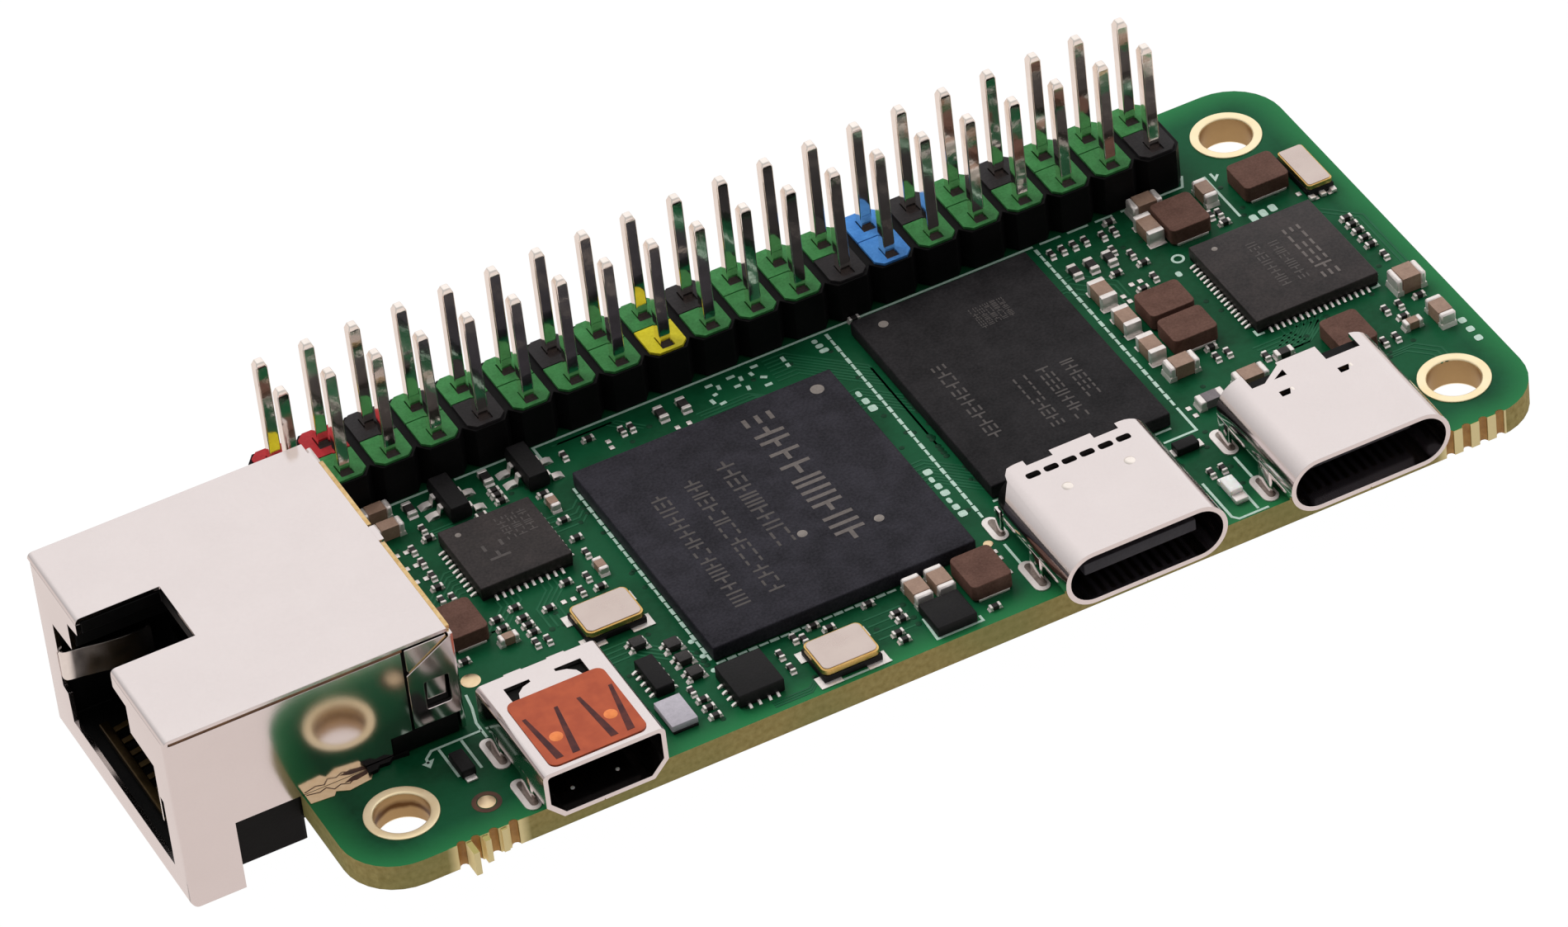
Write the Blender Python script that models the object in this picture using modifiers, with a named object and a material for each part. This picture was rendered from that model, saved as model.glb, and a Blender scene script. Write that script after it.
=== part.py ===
"""Single board computer: a 65 x 30 mm board with a 40-pin header, a network jack and three front ports.

Sizes are written in millimetres from the board's front-left corner, x to the right, y to the rear and
z up from the board's top face. at() turns them into metres from the middle of the board's underside.
"""

import math

import bmesh
import bpy
from mathutils import Matrix, Vector

MM = 0.001
GAP = 0.03  # clearance between pieces that touch on the real object

BOARD_LENGTH = 65.0
BOARD_WIDTH = 30.0
BOARD_THICKNESS = 1.5
BOARD_CORNER = 3.0

HOLE_INSET = 3.5
HOLE_RADIUS = 1.375
RING_RADIUS = 1.87
BARREL_RADIUS = 1.47
RING_THICKNESS = 0.06

# Stubs and grooves where the board was snapped out of its panel.
GROOVES_LEFT = (5.0, 5.75, 6.7, 7.75)
GROOVES_RIGHT = (59.2, 60.15, 61.1, 62.05)
GROOVE_RADIUS = 0.25
STUBS = ((5.37, 0.9), (6.22, 0.4), (7.2, 0.15))
STUB_WIDTH = 0.3

PIN_COUNT = 20
PIN_PITCH = 2.54
PIN_SIZE = 0.64
PIN_TOP = 8.88
PIN_BOTTOM = -3.0
PIN_TAPER = 0.35
PIN_TIP = 0.14
HEADER_LEFT = 7.1
HEADER_FRONT = 23.96
HEADER_HEIGHT = 2.54
HEADER_NOTCH = 0.5
WEB_LOW = 0.12
WEB_HIGH = 0.45
TAIL_HOLE_RADIUS = 0.52

JACK_LEFT, JACK_RIGHT = -6.4, 8.5
JACK_FRONT, JACK_REAR = 7.2, 23.4
JACK_TOP = 6.6
JACK_BAND_RIGHT = -3.55
JACK_BOTTOM = -4.15
JACK_SHEET = 0.25
JACK_CUTOUT = (5.4, 8.6, 22.0)  # right, front and rear edges of the board's cutout
JACK_FOLD = 0.35
SIDE_RIGHT = 5.75  # the shield's side walls end here, and the rear cover's flaps start
FLAP_LEFT, FLAP_LOW, FLAP_HIGH = 6.2, 4.85, 6.2  # the flaps' top edges slant from low to high
FOOT_LEFT, FOOT_TOP = 4.85, 1.25
HOUSING_RIGHT = 8.2
HOUSING_STEP, HOUSING_LOW = -0.1, -2.95
MOUTH_FRONT, MOUTH_REAR = 9.2, 21.5
MOUTH_BOTTOM, MOUTH_TOP = -2.6, 3.75
MOUTH_DEPTH = 5.0
NOTCH_FRONT, NOTCH_REAR, NOTCH_TOP = 12.0, 18.9, 5.6
LATCH_FRONT, LATCH_REAR, LATCH_RIGHT = 13.4, 17.6, -1.9
JACK_MIDDLE = (MOUTH_FRONT + MOUTH_REAR) / 2
CONTACT_COUNT = 8
CONTACT_PITCH = 1.016
CONTACT_WIDTH = 0.36
CONTACT_PIVOT = (-5.3, -2.3)
CONTACT_TIP = (3.0, -0.8)
CONTACT_HALF = 0.12
CONTACT_BAR = (0.25, 0.2, 0.3)  # half width, half height and reach past the outer wires
SPRING_ROOT = (-6.05, 21.25)
SPRING_BOW = ((-3.2, 0.6), (-1.5, 0.3))  # x, and distance in from the root
SPRING_THICKNESS = 0.15
SPRING_LOW, SPRING_HIGH = 0.0, 1.8

HDMI_LEFT, HDMI_RIGHT = 9.16, 15.66
HDMI_FRONT, HDMI_REAR = -1.0, 6.57
HDMI_TOP = 3.0
HDMI_SHEET = 0.25
HDMI_CORNER = 0.3
HDMI_CHAMFER = (0.84, 0.9)
HDMI_BLOCK_FRONT = 3.6
HDMI_BLADE = ((10.1, -0.4, 1.35), (14.7, 4.0, 1.95))
TAPE = (9.8, -0.7, 15.0, 4.5)
TAPE_CORNER = 0.45
TAPE_THICKNESS = 0.06

USB_WIDTH = 8.94
USB_HEIGHT = 3.16
USB_SHEET = 0.28
USB_FRONT = -1.45
USB_PORTS = {
    # name: middle x, rear y, notches in the rear of the roof as (left, right, front)
    "usb_otg": (41.5, 6.4, ((39.0, 40.45, 5.98), (42.75, 44.1, 5.98))),
    "usb_host": (54.0, 6.05, ((51.0, 53.0, 5.0), (55.2, 57.1, 4.9))),
}
TONGUE_WIDTH = 6.2
TONGUE_THICKNESS = 0.7
TONGUE_INSET = 0.7
TONGUE_BLOCK_FRONT = 4.2

# Plain moulded or wound parts: left, front, right, rear, height.
BLOCKS = {
    "processor": ("mould", 21.0, 4.9, 35.4, 20.4, 0.9),
    "memory": ("mould", 37.95, 8.05, 48.0, 23.1, 0.85),
    "usb_switch_chip": ("mould", 20.5, 1.2, 22.95, 3.85, 0.8),
    "load_switch_chip": ("mould", 30.95, 0.5, 33.1, 2.6, 0.6),
    "hdmi_esd_array": ("mould", 17.45, 4.05, 18.45, 6.5, 0.65),
    "video_filter": ("ceramic_grey", 16.95, 1.35, 18.35, 3.4, 0.5),
    "diode_left": ("mould", 7.0, 4.0, 7.75, 5.55, 0.55),
    "diode_right": ("mould", 47.1, 5.75, 48.35, 6.45, 0.5),
    "status_led": ("led_white", 47.75, 1.05, 48.45, 3.0, 0.55),
    "inductor_core": ("ferrite", 50.75, 14.8, 53.25, 16.9, 1.0),
    "inductor_graphics": ("ferrite", 50.75, 12.45, 53.25, 14.5, 1.0),
    "inductor_memory": ("ferrite", 54.85, 20.1, 57.15, 22.65, 1.0),
    "inductor_logic": ("ferrite", 59.65, 21.0, 62.2, 23.25, 1.0),
    "inductor_input": ("ferrite", 57.45, 7.4, 59.55, 9.95, 1.0),
    "inductor_host": ("ferrite", 33.55, 1.7, 35.75, 4.3, 1.0),
    "inductor_network": ("ferrite", 10.5, 12.3, 12.55, 14.9, 1.0),
    "clock_crystal_small": ("nickel", 62.5, 19.7, 64.0, 23.05, 0.8),
    "capacitor_core": ("ceramic", 49.4, 17.6, 50.3, 19.25, 0.85),
    "capacitor_graphics": ("ceramic", 49.4, 15.1, 50.3, 16.75, 0.85),
    "capacitor_input": ("ceramic", 49.4, 12.55, 50.3, 14.2, 0.85),
    "capacitor_logic": ("ceramic", 53.85, 20.75, 54.75, 22.5, 0.85),
}
LEADED_CHIPS = {
    # name: left, front, right, rear, height, leads on each side, lead pitch
    "power_chip": (55.05, 11.85, 62.05, 18.85, 0.8, 17, 0.35),
    "network_chip": (13.4, 15.05, 18.4, 20.05, 0.85, 10, 0.4),
}
LEAD_REACH = 0.33
LEAD_THICKNESS = 0.13
CRYSTALS = {
    # name: left, front, right, rear
    "network_crystal": (16.35, 9.25, 19.55, 11.65),
    "main_crystal": (24.75, 0.55, 27.95, 3.05),
}
CRYSTAL_BASE, CRYSTAL_TOP, CRYSTAL_RIM = 0.4, 0.8, 0.2
TRANSISTORS = {
    # name: left, front, right, rear
    "transistor_left": (14.6, 21.0, 15.8, 23.9),
    "transistor_right": (18.9, 21.0, 20.1, 23.9),
}
TRANSISTOR_TOP = 1.0
TRANSISTOR_LEADS = (("left", 1.1), ("left", 2.0), ("right", 0.45), ("right", 1.75))

# Underside: depths are below the board's bottom face.
CARD_SLOT = (14.0, 2.0, 28.0, 16.7, 1.5)
CARD_SLOT_SHEET = 0.15
CARD_WIDTH, CARD_THICKNESS, CARD_DEPTH = 11.2, 0.8, 13.4
FLEX_LEFT, FLEX_RIGHT = 60.6, 64.8
FLEX_FRONT, FLEX_REAR = 8.8, 21.2
FLEX_DEPTH = 1.1
LATCH_AXIS = (61.2, 0.85)
LATCH_REACH, LATCH_BACK, LATCH_HALF = 1.2, 0.2, 0.2
LATCH_SIDE, LATCH_ROOM = 0.7, 0.1  # from the connector's ends, and clearance round the latch
CABLE_DEPTHS = (0.55, 0.85)
BUTTON = (44.0, 12.0, 47.0, 14.6, 1.1)
PLUNGER_HALF = 0.6
PLUNGER_DEPTHS = (0.7, 1.5)
BUTTON_WELL = 0.4
LABEL = (29.5, 11.0, 35.5, 19.0, 0.1)

MATERIALS = {
    # name: colour, roughness, metallic
    "laminate": ((0.028, 0.19, 0.075), 0.45, 0.0),
    "gold": ((0.76, 0.6, 0.33), 0.35, 1.0),
    "header_plastic": ((0.03, 0.028, 0.032), 0.55, 0.0),
    "pin_metal": ((0.62, 0.6, 0.56), 0.3, 1.0),
    "nickel": ((0.75, 0.71, 0.69), 0.28, 1.0),
    "black_plastic": ((0.012, 0.012, 0.014), 0.55, 0.0),
    "mould": ((0.035, 0.032, 0.036), 0.6, 0.0),
    "ferrite": ((0.13, 0.065, 0.055), 0.6, 0.0),
    "ceramic": ((0.35, 0.22, 0.15), 0.45, 0.0),
    "ceramic_grey": ((0.45, 0.43, 0.48), 0.4, 0.0),
    "led_white": ((0.85, 0.84, 0.8), 0.35, 0.0),
    "film_amber": ((0.5, 0.1, 0.035), 0.3, 0.0),
    "label_white": ((0.8, 0.8, 0.78), 0.5, 0.0),
}


def at(x, y, z):
    """Board millimetres to metres in the part's frame."""
    return Vector((x - BOARD_LENGTH / 2, y - BOARD_WIDTH / 2, z + BOARD_THICKNESS)) * MM


def clear_scene():
    for old in list(bpy.data.objects):
        bpy.data.objects.remove(old)


def new_collection(name):
    collection = bpy.data.collections.new(name)
    bpy.context.scene.collection.children.link(collection)
    return collection


def new_material(name, colour, roughness, metallic):
    material = bpy.data.materials.new(name)
    material.use_nodes = True
    shader = material.node_tree.nodes["Principled BSDF"]
    shader.inputs["Base Color"].default_value = (*colour, 1.0)
    shader.inputs["Roughness"].default_value = roughness
    shader.inputs["Metallic"].default_value = metallic
    return material


def finish_mesh(bm, name, smooth=False):
    bmesh.ops.recalc_face_normals(bm, faces=bm.faces)
    mesh = bpy.data.meshes.new(name)
    bm.to_mesh(mesh)
    bm.free()
    if smooth:
        mesh.shade_smooth()
        mesh.set_sharp_from_angle(angle=math.radians(35))
    return mesh


def boxes(name, *corners):
    """One mesh of boxes that don't touch, each given by its lowest and highest corner."""
    bm = bmesh.new()
    for low, high in corners:
        middle = (at(*low) + at(*high)) / 2
        size = at(*high) - at(*low)
        place = Matrix.Translation(middle) @ Matrix.Diagonal((*size, 1.0))
        bmesh.ops.create_cube(bm, size=1.0, matrix=place)
    return finish_mesh(bm, name)


def cylinders(name, centres, radius, low, high, sides):
    """One mesh of upright cylinders that don't touch."""
    bm = bmesh.new()
    for x, y in centres:
        bmesh.ops.create_cone(
            bm,
            cap_ends=True,
            segments=sides,
            radius1=radius * MM,
            radius2=radius * MM,
            depth=(high - low) * MM,
            matrix=Matrix.Translation(at(x, y, (low + high) / 2)),
        )
    return finish_mesh(bm, name, smooth=True)


def extruded(name, points, low, high, along="z", smooth=False):
    """A closed flat outline, extruded along one axis from low to high.

    The outline's points are (x, y) along z, (x, z) along y and (y, z) along x.
    """
    curve = bpy.data.curves.new(name, "CURVE")
    curve.dimensions = "2D"
    curve.fill_mode = "BOTH"
    curve.extrude = (high - low) * MM / 2
    spline = curve.splines.new("POLY")
    spline.points.add(len(points) - 1)
    for point, (u, v) in zip(spline.points, points):
        point.co = (u * MM, v * MM, 0.0, 1.0)
    spline.use_cyclic_u = True
    guide = bpy.data.objects.new(name, curve)
    bpy.context.scene.collection.objects.link(guide)
    axes = {
        "z": (Vector((1, 0, 0)), Vector((0, 1, 0)), Vector((0, 0, 1))),
        "y": (Vector((1, 0, 0)), Vector((0, 0, 1)), Vector((0, -1, 0))),
        "x": (Vector((0, 1, 0)), Vector((0, 0, 1)), Vector((1, 0, 0))),
    }[along]
    middle = abs_axis(axes[2]) * ((low + high) / 2)
    guide.matrix_world = Matrix.Translation(at(*middle)) @ Matrix(axes).transposed().to_4x4()
    bpy.context.view_layer.update()
    solid = guide.evaluated_get(bpy.context.evaluated_depsgraph_get())
    mesh = bpy.data.meshes.new_from_object(solid)
    mesh.transform(guide.matrix_world)
    bpy.data.objects.remove(guide)
    bm = bmesh.new()
    bm.from_mesh(mesh)
    bpy.data.meshes.remove(mesh)
    bmesh.ops.remove_doubles(bm, verts=bm.verts, dist=1e-7)
    return finish_mesh(bm, name, smooth)


def abs_axis(axis):
    return Vector([abs(value) for value in axis])


def merged(name, meshes):
    """Several meshes that don't touch, as one mesh."""
    bm = bmesh.new()
    for mesh in meshes:
        bm.from_mesh(mesh)
        bpy.data.meshes.remove(mesh)
    return finish_mesh(bm, name)


def add_node(name, mesh, material, pivot=None):
    """Makes the mesh a node whose origin is on its joint's axis, or else under its middle."""
    if pivot is None:
        corners = [vertex.co for vertex in mesh.vertices]
        low = Vector([min(corner[i] for corner in corners) for i in range(3)])
        high = Vector([max(corner[i] for corner in corners) for i in range(3)])
        pivot = Vector(((low.x + high.x) / 2, (low.y + high.y) / 2, low.z))
    mesh.transform(Matrix.Translation(-pivot))
    mesh.materials.append(materials[material])
    node = bpy.data.objects.new(name, mesh)
    node.location = pivot
    parts.objects.link(node)
    return node


def combine(node, operation, *meshes):
    for mesh in meshes:
        tool = bpy.data.objects.new(mesh.name, mesh)
        tool.hide_render = True
        tool.display_type = "WIRE"
        tools.objects.link(tool)
        modifier = node.modifiers.new(mesh.name, "BOOLEAN")
        modifier.operation = operation
        modifier.object = tool


def cut(node, *meshes):
    combine(node, "DIFFERENCE", *meshes)


def join(node, *meshes):
    combine(node, "UNION", *meshes)


def arc(x, y, radius, start, end, steps):
    """Points on an arc, with its angles in degrees."""
    angles = [math.radians(start + (end - start) * i / steps) for i in range(steps + 1)]
    return [(x + radius * math.cos(angle), y + radius * math.sin(angle)) for angle in angles]


def rounded_rectangle(left, low, right, high, radius, steps):
    return (
        arc(right - radius, high - radius, radius, 0, 90, steps)
        + arc(left + radius, high - radius, radius, 90, 180, steps)
        + arc(left + radius, low + radius, radius, 180, 270, steps)
        + arc(right - radius, low + radius, radius, 270, 360, steps)
    )


def mounting_holes():
    sides = {"left": HOLE_INSET, "right": BOARD_LENGTH - HOLE_INSET}
    rows = {"front": HOLE_INSET, "rear": BOARD_WIDTH - HOLE_INSET}
    return {f"{row}_{side}": (sides[side], rows[row]) for row in rows for side in sides}


def pin_rows():
    middle = HEADER_FRONT + PIN_PITCH
    return {"front": middle - PIN_PITCH / 2, "rear": middle + PIN_PITCH / 2}


def pin_columns():
    return [HEADER_LEFT + PIN_PITCH * (i + 0.5) for i in range(PIN_COUNT)]


def make_board():
    low, high = -BOARD_THICKNESS, 0.0
    outline = rounded_rectangle(0, 0, BOARD_LENGTH, BOARD_WIDTH, BOARD_CORNER, 8)
    board = add_node("circuit_board", extruded("board", outline, low, high, smooth=True), "laminate")
    right, front, rear = JACK_CUTOUT
    grooves = [(x, 0.0) for x in GROOVES_LEFT + GROOVES_RIGHT]
    tails = [(x, y) for y in pin_rows().values() for x in pin_columns()]
    cut(
        board,
        boxes("jack_cutout", ((-1, front, low - 1), (right, rear, high + 1))),
        cylinders("hole", mounting_holes().values(), BARREL_RADIUS + GAP, low - 1, high + 1, 24),
        cylinders("tail_hole", tails, TAIL_HOLE_RADIUS, low - 1, high + 1, 8),
        cylinders("groove", grooves, GROOVE_RADIUS, low - 1, high + 1, 10),
    )
    half = STUB_WIDTH / 2
    stubs = [((x - half, -reach, low + 0.05), (x + half, 0.4, high - 0.05)) for x, reach in STUBS]
    join(board, boxes("stub", *stubs))


def make_mounting_rings():
    """Plated barrels with a flange on each face, turned from one section."""
    top, bottom = 0.02, -BOARD_THICKNESS - 0.02
    section = [
        (RING_RADIUS, top + RING_THICKNESS),
        (RING_RADIUS, top),
        (BARREL_RADIUS, top),
        (BARREL_RADIUS, bottom),
        (RING_RADIUS, bottom),
        (RING_RADIUS, bottom - RING_THICKNESS),
        (HOLE_RADIUS, bottom - RING_THICKNESS),
        (HOLE_RADIUS, top + RING_THICKNESS),
    ]
    bm = bmesh.new()
    corners = [bm.verts.new((radius * MM, 0.0, z * MM)) for radius, z in section]
    for i, corner in enumerate(corners):
        bm.edges.new((corner, corners[(i + 1) % len(corners)]))
    mesh = bpy.data.meshes.new("ring_section")
    bm.to_mesh(mesh)
    bm.free()
    mesh.materials.append(materials["gold"])
    for place, (x, y) in mounting_holes().items():
        ring = bpy.data.objects.new(f"mounting_ring_{place}", mesh)
        ring.location = at(x, y, 0.0)
        parts.objects.link(ring)
        screw = ring.modifiers.new("turn", "SCREW")
        screw.steps = 24
        screw.render_steps = 24
        screw.use_merge_vertices = True
        screw.merge_threshold = 1e-6
        screw.use_smooth_shade = False


def make_header():
    """A moulded strip with a V notch between cells, and a comb of pins for each row."""
    rear_edge = HEADER_FRONT + 2 * PIN_PITCH
    right = HEADER_LEFT + PIN_COUNT * PIN_PITCH
    strip = boxes("header", ((HEADER_LEFT, HEADER_FRONT, 0.05), (right, rear_edge, HEADER_HEIGHT)))
    header = add_node("gpio_header_body", strip, "header_plastic")
    joints = [HEADER_LEFT + i * PIN_PITCH for i in range(PIN_COUNT + 1)]
    notches = [(x, y) for x in joints for y in (HEADER_FRONT, rear_edge)]
    cut(header, cylinders("notch", notches, HEADER_NOTCH, -1.0, HEADER_HEIGHT + 1, 4))
    half = PIN_SIZE / 2 + GAP
    columns = pin_columns()
    for row, y in pin_rows().items():
        holes = [((x - half, y - half, -1.0), (x + half, y + half, HEADER_HEIGHT + 1)) for x in columns]
        wide = half + 0.1
        channel = ((columns[0] - wide, y - wide, -1.0), (columns[-1] + wide, y + wide, WEB_HIGH + GAP))
        cut(header, boxes(f"pin_hole_{row}", *holes), boxes(f"channel_{row}", channel))
        comb = extruded(f"comb_{row}", comb_outline(columns), y - PIN_SIZE / 2, y + PIN_SIZE / 2, along="y")
        add_node(f"gpio_pins_{row}_row", comb, "pin_metal")


def comb_outline(columns):
    """A row of pins on a thin web that hides inside the header, tips up and tails down."""
    half = PIN_SIZE / 2
    upper, lower = [], []
    for x in columns:
        upper += [(x - half, WEB_HIGH), (x - half, PIN_TOP - PIN_TAPER), (x - PIN_TIP, PIN_TOP)]
        upper += [(x + PIN_TIP, PIN_TOP), (x + half, PIN_TOP - PIN_TAPER), (x + half, WEB_HIGH)]
        lower += [(x - half, WEB_LOW), (x - half, PIN_BOTTOM + PIN_TAPER), (x - PIN_TIP, PIN_BOTTOM)]
        lower += [(x + PIN_TIP, PIN_BOTTOM), (x + half, PIN_BOTTOM + PIN_TAPER), (x + half, WEB_LOW)]
    return upper[1:-1] + lower[1:-1][::-1]


def mouth_cutters(right):
    """The stepped plug opening and the latch window above it, as three overlapping boxes."""
    left = JACK_LEFT - 1
    return (
        boxes("mouth", ((left, MOUTH_FRONT, MOUTH_BOTTOM), (right, MOUTH_REAR, MOUTH_TOP))),
        boxes("notch", ((left, NOTCH_FRONT, MOUTH_TOP - 1), (right - 1, NOTCH_REAR, NOTCH_TOP))),
        boxes("latch", ((left, LATCH_FRONT, NOTCH_TOP - 1), (LATCH_RIGHT, LATCH_REAR, JACK_TOP + 1))),
    )


def make_jack_shield():
    """The folded sheet over the jack: roof, sides, mouth plate and the band under the mouth."""
    low = 0.05
    tab = 0.05
    side = (
        arc(JACK_LEFT + JACK_FOLD, JACK_BOTTOM + JACK_FOLD, JACK_FOLD, 180, 270, 3)
        + [(JACK_BAND_RIGHT, JACK_BOTTOM), (JACK_BAND_RIGHT, low), (FOOT_LEFT, low), (FOOT_LEFT, FOOT_TOP)]
        + [(SIDE_RIGHT, FOOT_TOP), (SIDE_RIGHT, FLAP_HIGH - tab), (FLAP_LEFT, FLAP_HIGH - tab)]
        + [(FLAP_LEFT, FLAP_LOW + tab), (JACK_RIGHT - 0.1, FLAP_HIGH + tab), (JACK_RIGHT, FLAP_HIGH + tab)]
        + [(JACK_RIGHT, JACK_TOP), (JACK_LEFT, JACK_TOP)]
    )
    shield = add_node(
        "ethernet_shield", extruded("shield", side, JACK_FRONT, JACK_REAR, along="y"), "nickel"
    )
    inside = (
        (JACK_LEFT + JACK_SHEET, JACK_FRONT + JACK_SHEET, JACK_BOTTOM + JACK_SHEET),
        (JACK_RIGHT + 1, JACK_REAR - JACK_SHEET, JACK_TOP - JACK_SHEET),
    )
    cut(shield, boxes("shield_inside", inside), *mouth_cutters(JACK_LEFT + 1.2))


def make_jack_rear_cover():
    """The back plate with a flap folded forward along each side."""
    plate_left, plate_right = JACK_RIGHT + 0.05, JACK_RIGHT + 0.05 + JACK_SHEET
    low, high = 0.1, JACK_TOP - 0.05
    side = [(plate_left, low), (plate_right, low), (plate_right, high), (plate_left, high)]
    side += [(plate_left, FLAP_HIGH), (FLAP_LEFT, FLAP_LOW - 0.05)]
    side += [(FLAP_LEFT, FOOT_TOP), (plate_left, FOOT_TOP)]
    cover = add_node(
        "ethernet_rear_cover", extruded("rear_cover", side, JACK_FRONT, JACK_REAR, along="y"), "nickel"
    )
    inside = (
        (FLAP_LEFT - 1, JACK_FRONT + JACK_SHEET, -1.0),
        (plate_left, JACK_REAR - JACK_SHEET, JACK_TOP + 1),
    )
    cut(cover, boxes("cover_inside", inside))


def make_jack_housing():
    """The moulding inside the shield: a stepped block that drops through the board's cutout."""
    front, rear = JACK_FRONT + JACK_SHEET + GAP, JACK_REAR - JACK_SHEET - GAP
    left = JACK_LEFT + JACK_SHEET + GAP
    top, bottom = JACK_TOP - JACK_SHEET - GAP, JACK_BOTTOM + JACK_SHEET + GAP
    step = JACK_BAND_RIGHT - 0.1
    side = [(left, top), (left, bottom), (step, bottom), (step, HOUSING_LOW), (HOUSING_STEP, HOUSING_LOW)]
    side += [(HOUSING_STEP, 0.05), (HOUSING_RIGHT, 0.05), (HOUSING_RIGHT, top)]
    housing = add_node(
        "ethernet_housing", extruded("housing", side, front, rear, along="y"), "black_plastic"
    )
    cutout_right, cutout_front, cutout_rear = JACK_CUTOUT
    drop = (
        (HOUSING_STEP - 0.5, cutout_front + 0.2, HOUSING_LOW + 0.05),
        (cutout_right - 0.2, cutout_rear - 0.2, 0.6),
    )
    foot = ((FOOT_LEFT + 0.05, JACK_FRONT, 0.08), (JACK_RIGHT - 0.1, JACK_REAR, FOOT_TOP - 0.05))
    join(housing, boxes("drop", drop), boxes("foot", foot))
    cut(housing, *mouth_cutters(MOUTH_DEPTH))


def make_jack_contacts():
    """Eight spring wires on one bar, rising away from the mouth; the bar lies on the hinge axis."""
    x, z = CONTACT_PIVOT
    half_width, half_height, past = CONTACT_BAR
    span = CONTACT_PITCH * CONTACT_COUNT / 2 + past
    ends = (
        (x - half_width, JACK_MIDDLE - span, z - half_height),
        (x + half_width, JACK_MIDDLE + span, z + half_height),
    )
    contacts = add_node("ethernet_contacts", boxes("contact_bar", ends), "gold", at(x, JACK_MIDDLE, z))
    tip_x, tip_z = CONTACT_TIP
    half = CONTACT_HALF
    side = [(x, z - half), (tip_x, tip_z - half), (tip_x, tip_z + half), (x, z + half)]
    wires = []
    for i in range(CONTACT_COUNT):
        y = JACK_MIDDLE + (i - (CONTACT_COUNT - 1) / 2) * CONTACT_PITCH
        wires.append(extruded("wire", side, y - CONTACT_WIDTH / 2, y + CONTACT_WIDTH / 2, along="y"))
    join(contacts, merged("wires", wires))


def make_jack_ground_springs():
    """A bowed finger along each side of the plug opening, hinged at the mouth."""
    x, y = SPRING_ROOT
    outer = [(x, y)] + [(bow_x, y - inward) for bow_x, inward in SPRING_BOW]
    outline = outer + [(px, py - SPRING_THICKNESS) for px, py in outer[::-1]]
    for name, flip in (("rear", 1), ("front", -1)):
        points = [(px, JACK_MIDDLE + flip * (py - JACK_MIDDLE)) for px, py in outline]
        root = at(x, JACK_MIDDLE + flip * (y - SPRING_THICKNESS / 2 - JACK_MIDDLE), SPRING_LOW)
        finger = extruded(f"finger_{name}", points, SPRING_LOW, SPRING_HIGH)
        add_node(f"ethernet_ground_spring_{name}", finger, "nickel", root)


def hdmi_section(inset):
    """The port's outline in x and z: round at the top and chamfered at the bottom."""
    left, right = HDMI_LEFT + inset, HDMI_RIGHT - inset
    low, high = 0.05 + inset, HDMI_TOP - inset
    across, up = HDMI_CHAMFER
    across -= inset * 0.45
    up -= inset * 0.45
    radius = HDMI_CORNER
    return (
        arc(right - radius, high - radius, radius, 0, 90, 3)
        + arc(left + radius, high - radius, radius, 90, 180, 3)
        + [(left, low + up), (left + across, low), (right - across, low), (right, low + up)]
    )


def make_hdmi_port():
    shell = add_node(
        "hdmi_shell", extruded("hdmi_shell", hdmi_section(0), HDMI_FRONT, HDMI_REAR, along="y"), "nickel"
    )
    cut(shell, extruded("hdmi_inside", hdmi_section(HDMI_SHEET), HDMI_FRONT - 1, HDMI_REAR + 1, along="y"))
    section = hdmi_section(HDMI_SHEET + GAP)
    block = extruded("hdmi_block", section, HDMI_BLOCK_FRONT, HDMI_REAR - 0.2, along="y")
    tongue = add_node("hdmi_tongue", block, "black_plastic")
    join(tongue, boxes("hdmi_blade", HDMI_BLADE))
    left, front, right, rear = TAPE
    outline = rounded_rectangle(left, front, right, rear, TAPE_CORNER, 4)
    bottom = HDMI_TOP + 0.02
    add_node("hdmi_tape", extruded("tape", outline, bottom, bottom + TAPE_THICKNESS), "film_amber")


def usb_section(middle, inset):
    """A slot outline in x and z with full round ends."""
    radius = USB_HEIGHT / 2 - inset
    reach = USB_WIDTH / 2 - USB_HEIGHT / 2
    z = 0.05 + USB_HEIGHT / 2
    return arc(middle + reach, z, radius, -90, 90, 10) + arc(middle - reach, z, radius, 90, 270, 10)


def make_usb_ports():
    for name, (middle, rear, notches) in USB_PORTS.items():
        outer = extruded(f"{name}_outer", usb_section(middle, 0), USB_FRONT, rear, along="y", smooth=True)
        shell = add_node(f"{name}_shell", outer, "nickel")
        inner = extruded(
            f"{name}_inner", usb_section(middle, USB_SHEET), USB_FRONT - 1, rear + 1, along="y", smooth=True
        )
        low, high = USB_HEIGHT - 0.7, USB_HEIGHT + 1
        roof = [((left, front, low), (right, rear + 1, high)) for left, right, front in notches]
        cut(shell, inner, boxes(f"{name}_notch", *roof))
        section = usb_section(middle, USB_SHEET + GAP)
        block = extruded(f"{name}_block", section, TONGUE_BLOCK_FRONT, rear - 0.1, along="y")
        tongue = add_node(f"{name}_tongue", block, "black_plastic")
        z = 0.05 + USB_HEIGHT / 2
        half = TONGUE_WIDTH / 2
        blade = (
            (middle - half, USB_FRONT + TONGUE_INSET, z - TONGUE_THICKNESS / 2),
            (middle + half, TONGUE_BLOCK_FRONT + 0.4, z + TONGUE_THICKNESS / 2),
        )
        join(tongue, boxes(f"{name}_blade", blade))


def make_blocks():
    for name, (material, left, front, right, rear, height) in BLOCKS.items():
        add_node(name, boxes(name, ((left, front, GAP), (right, rear, height))), material)


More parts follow.
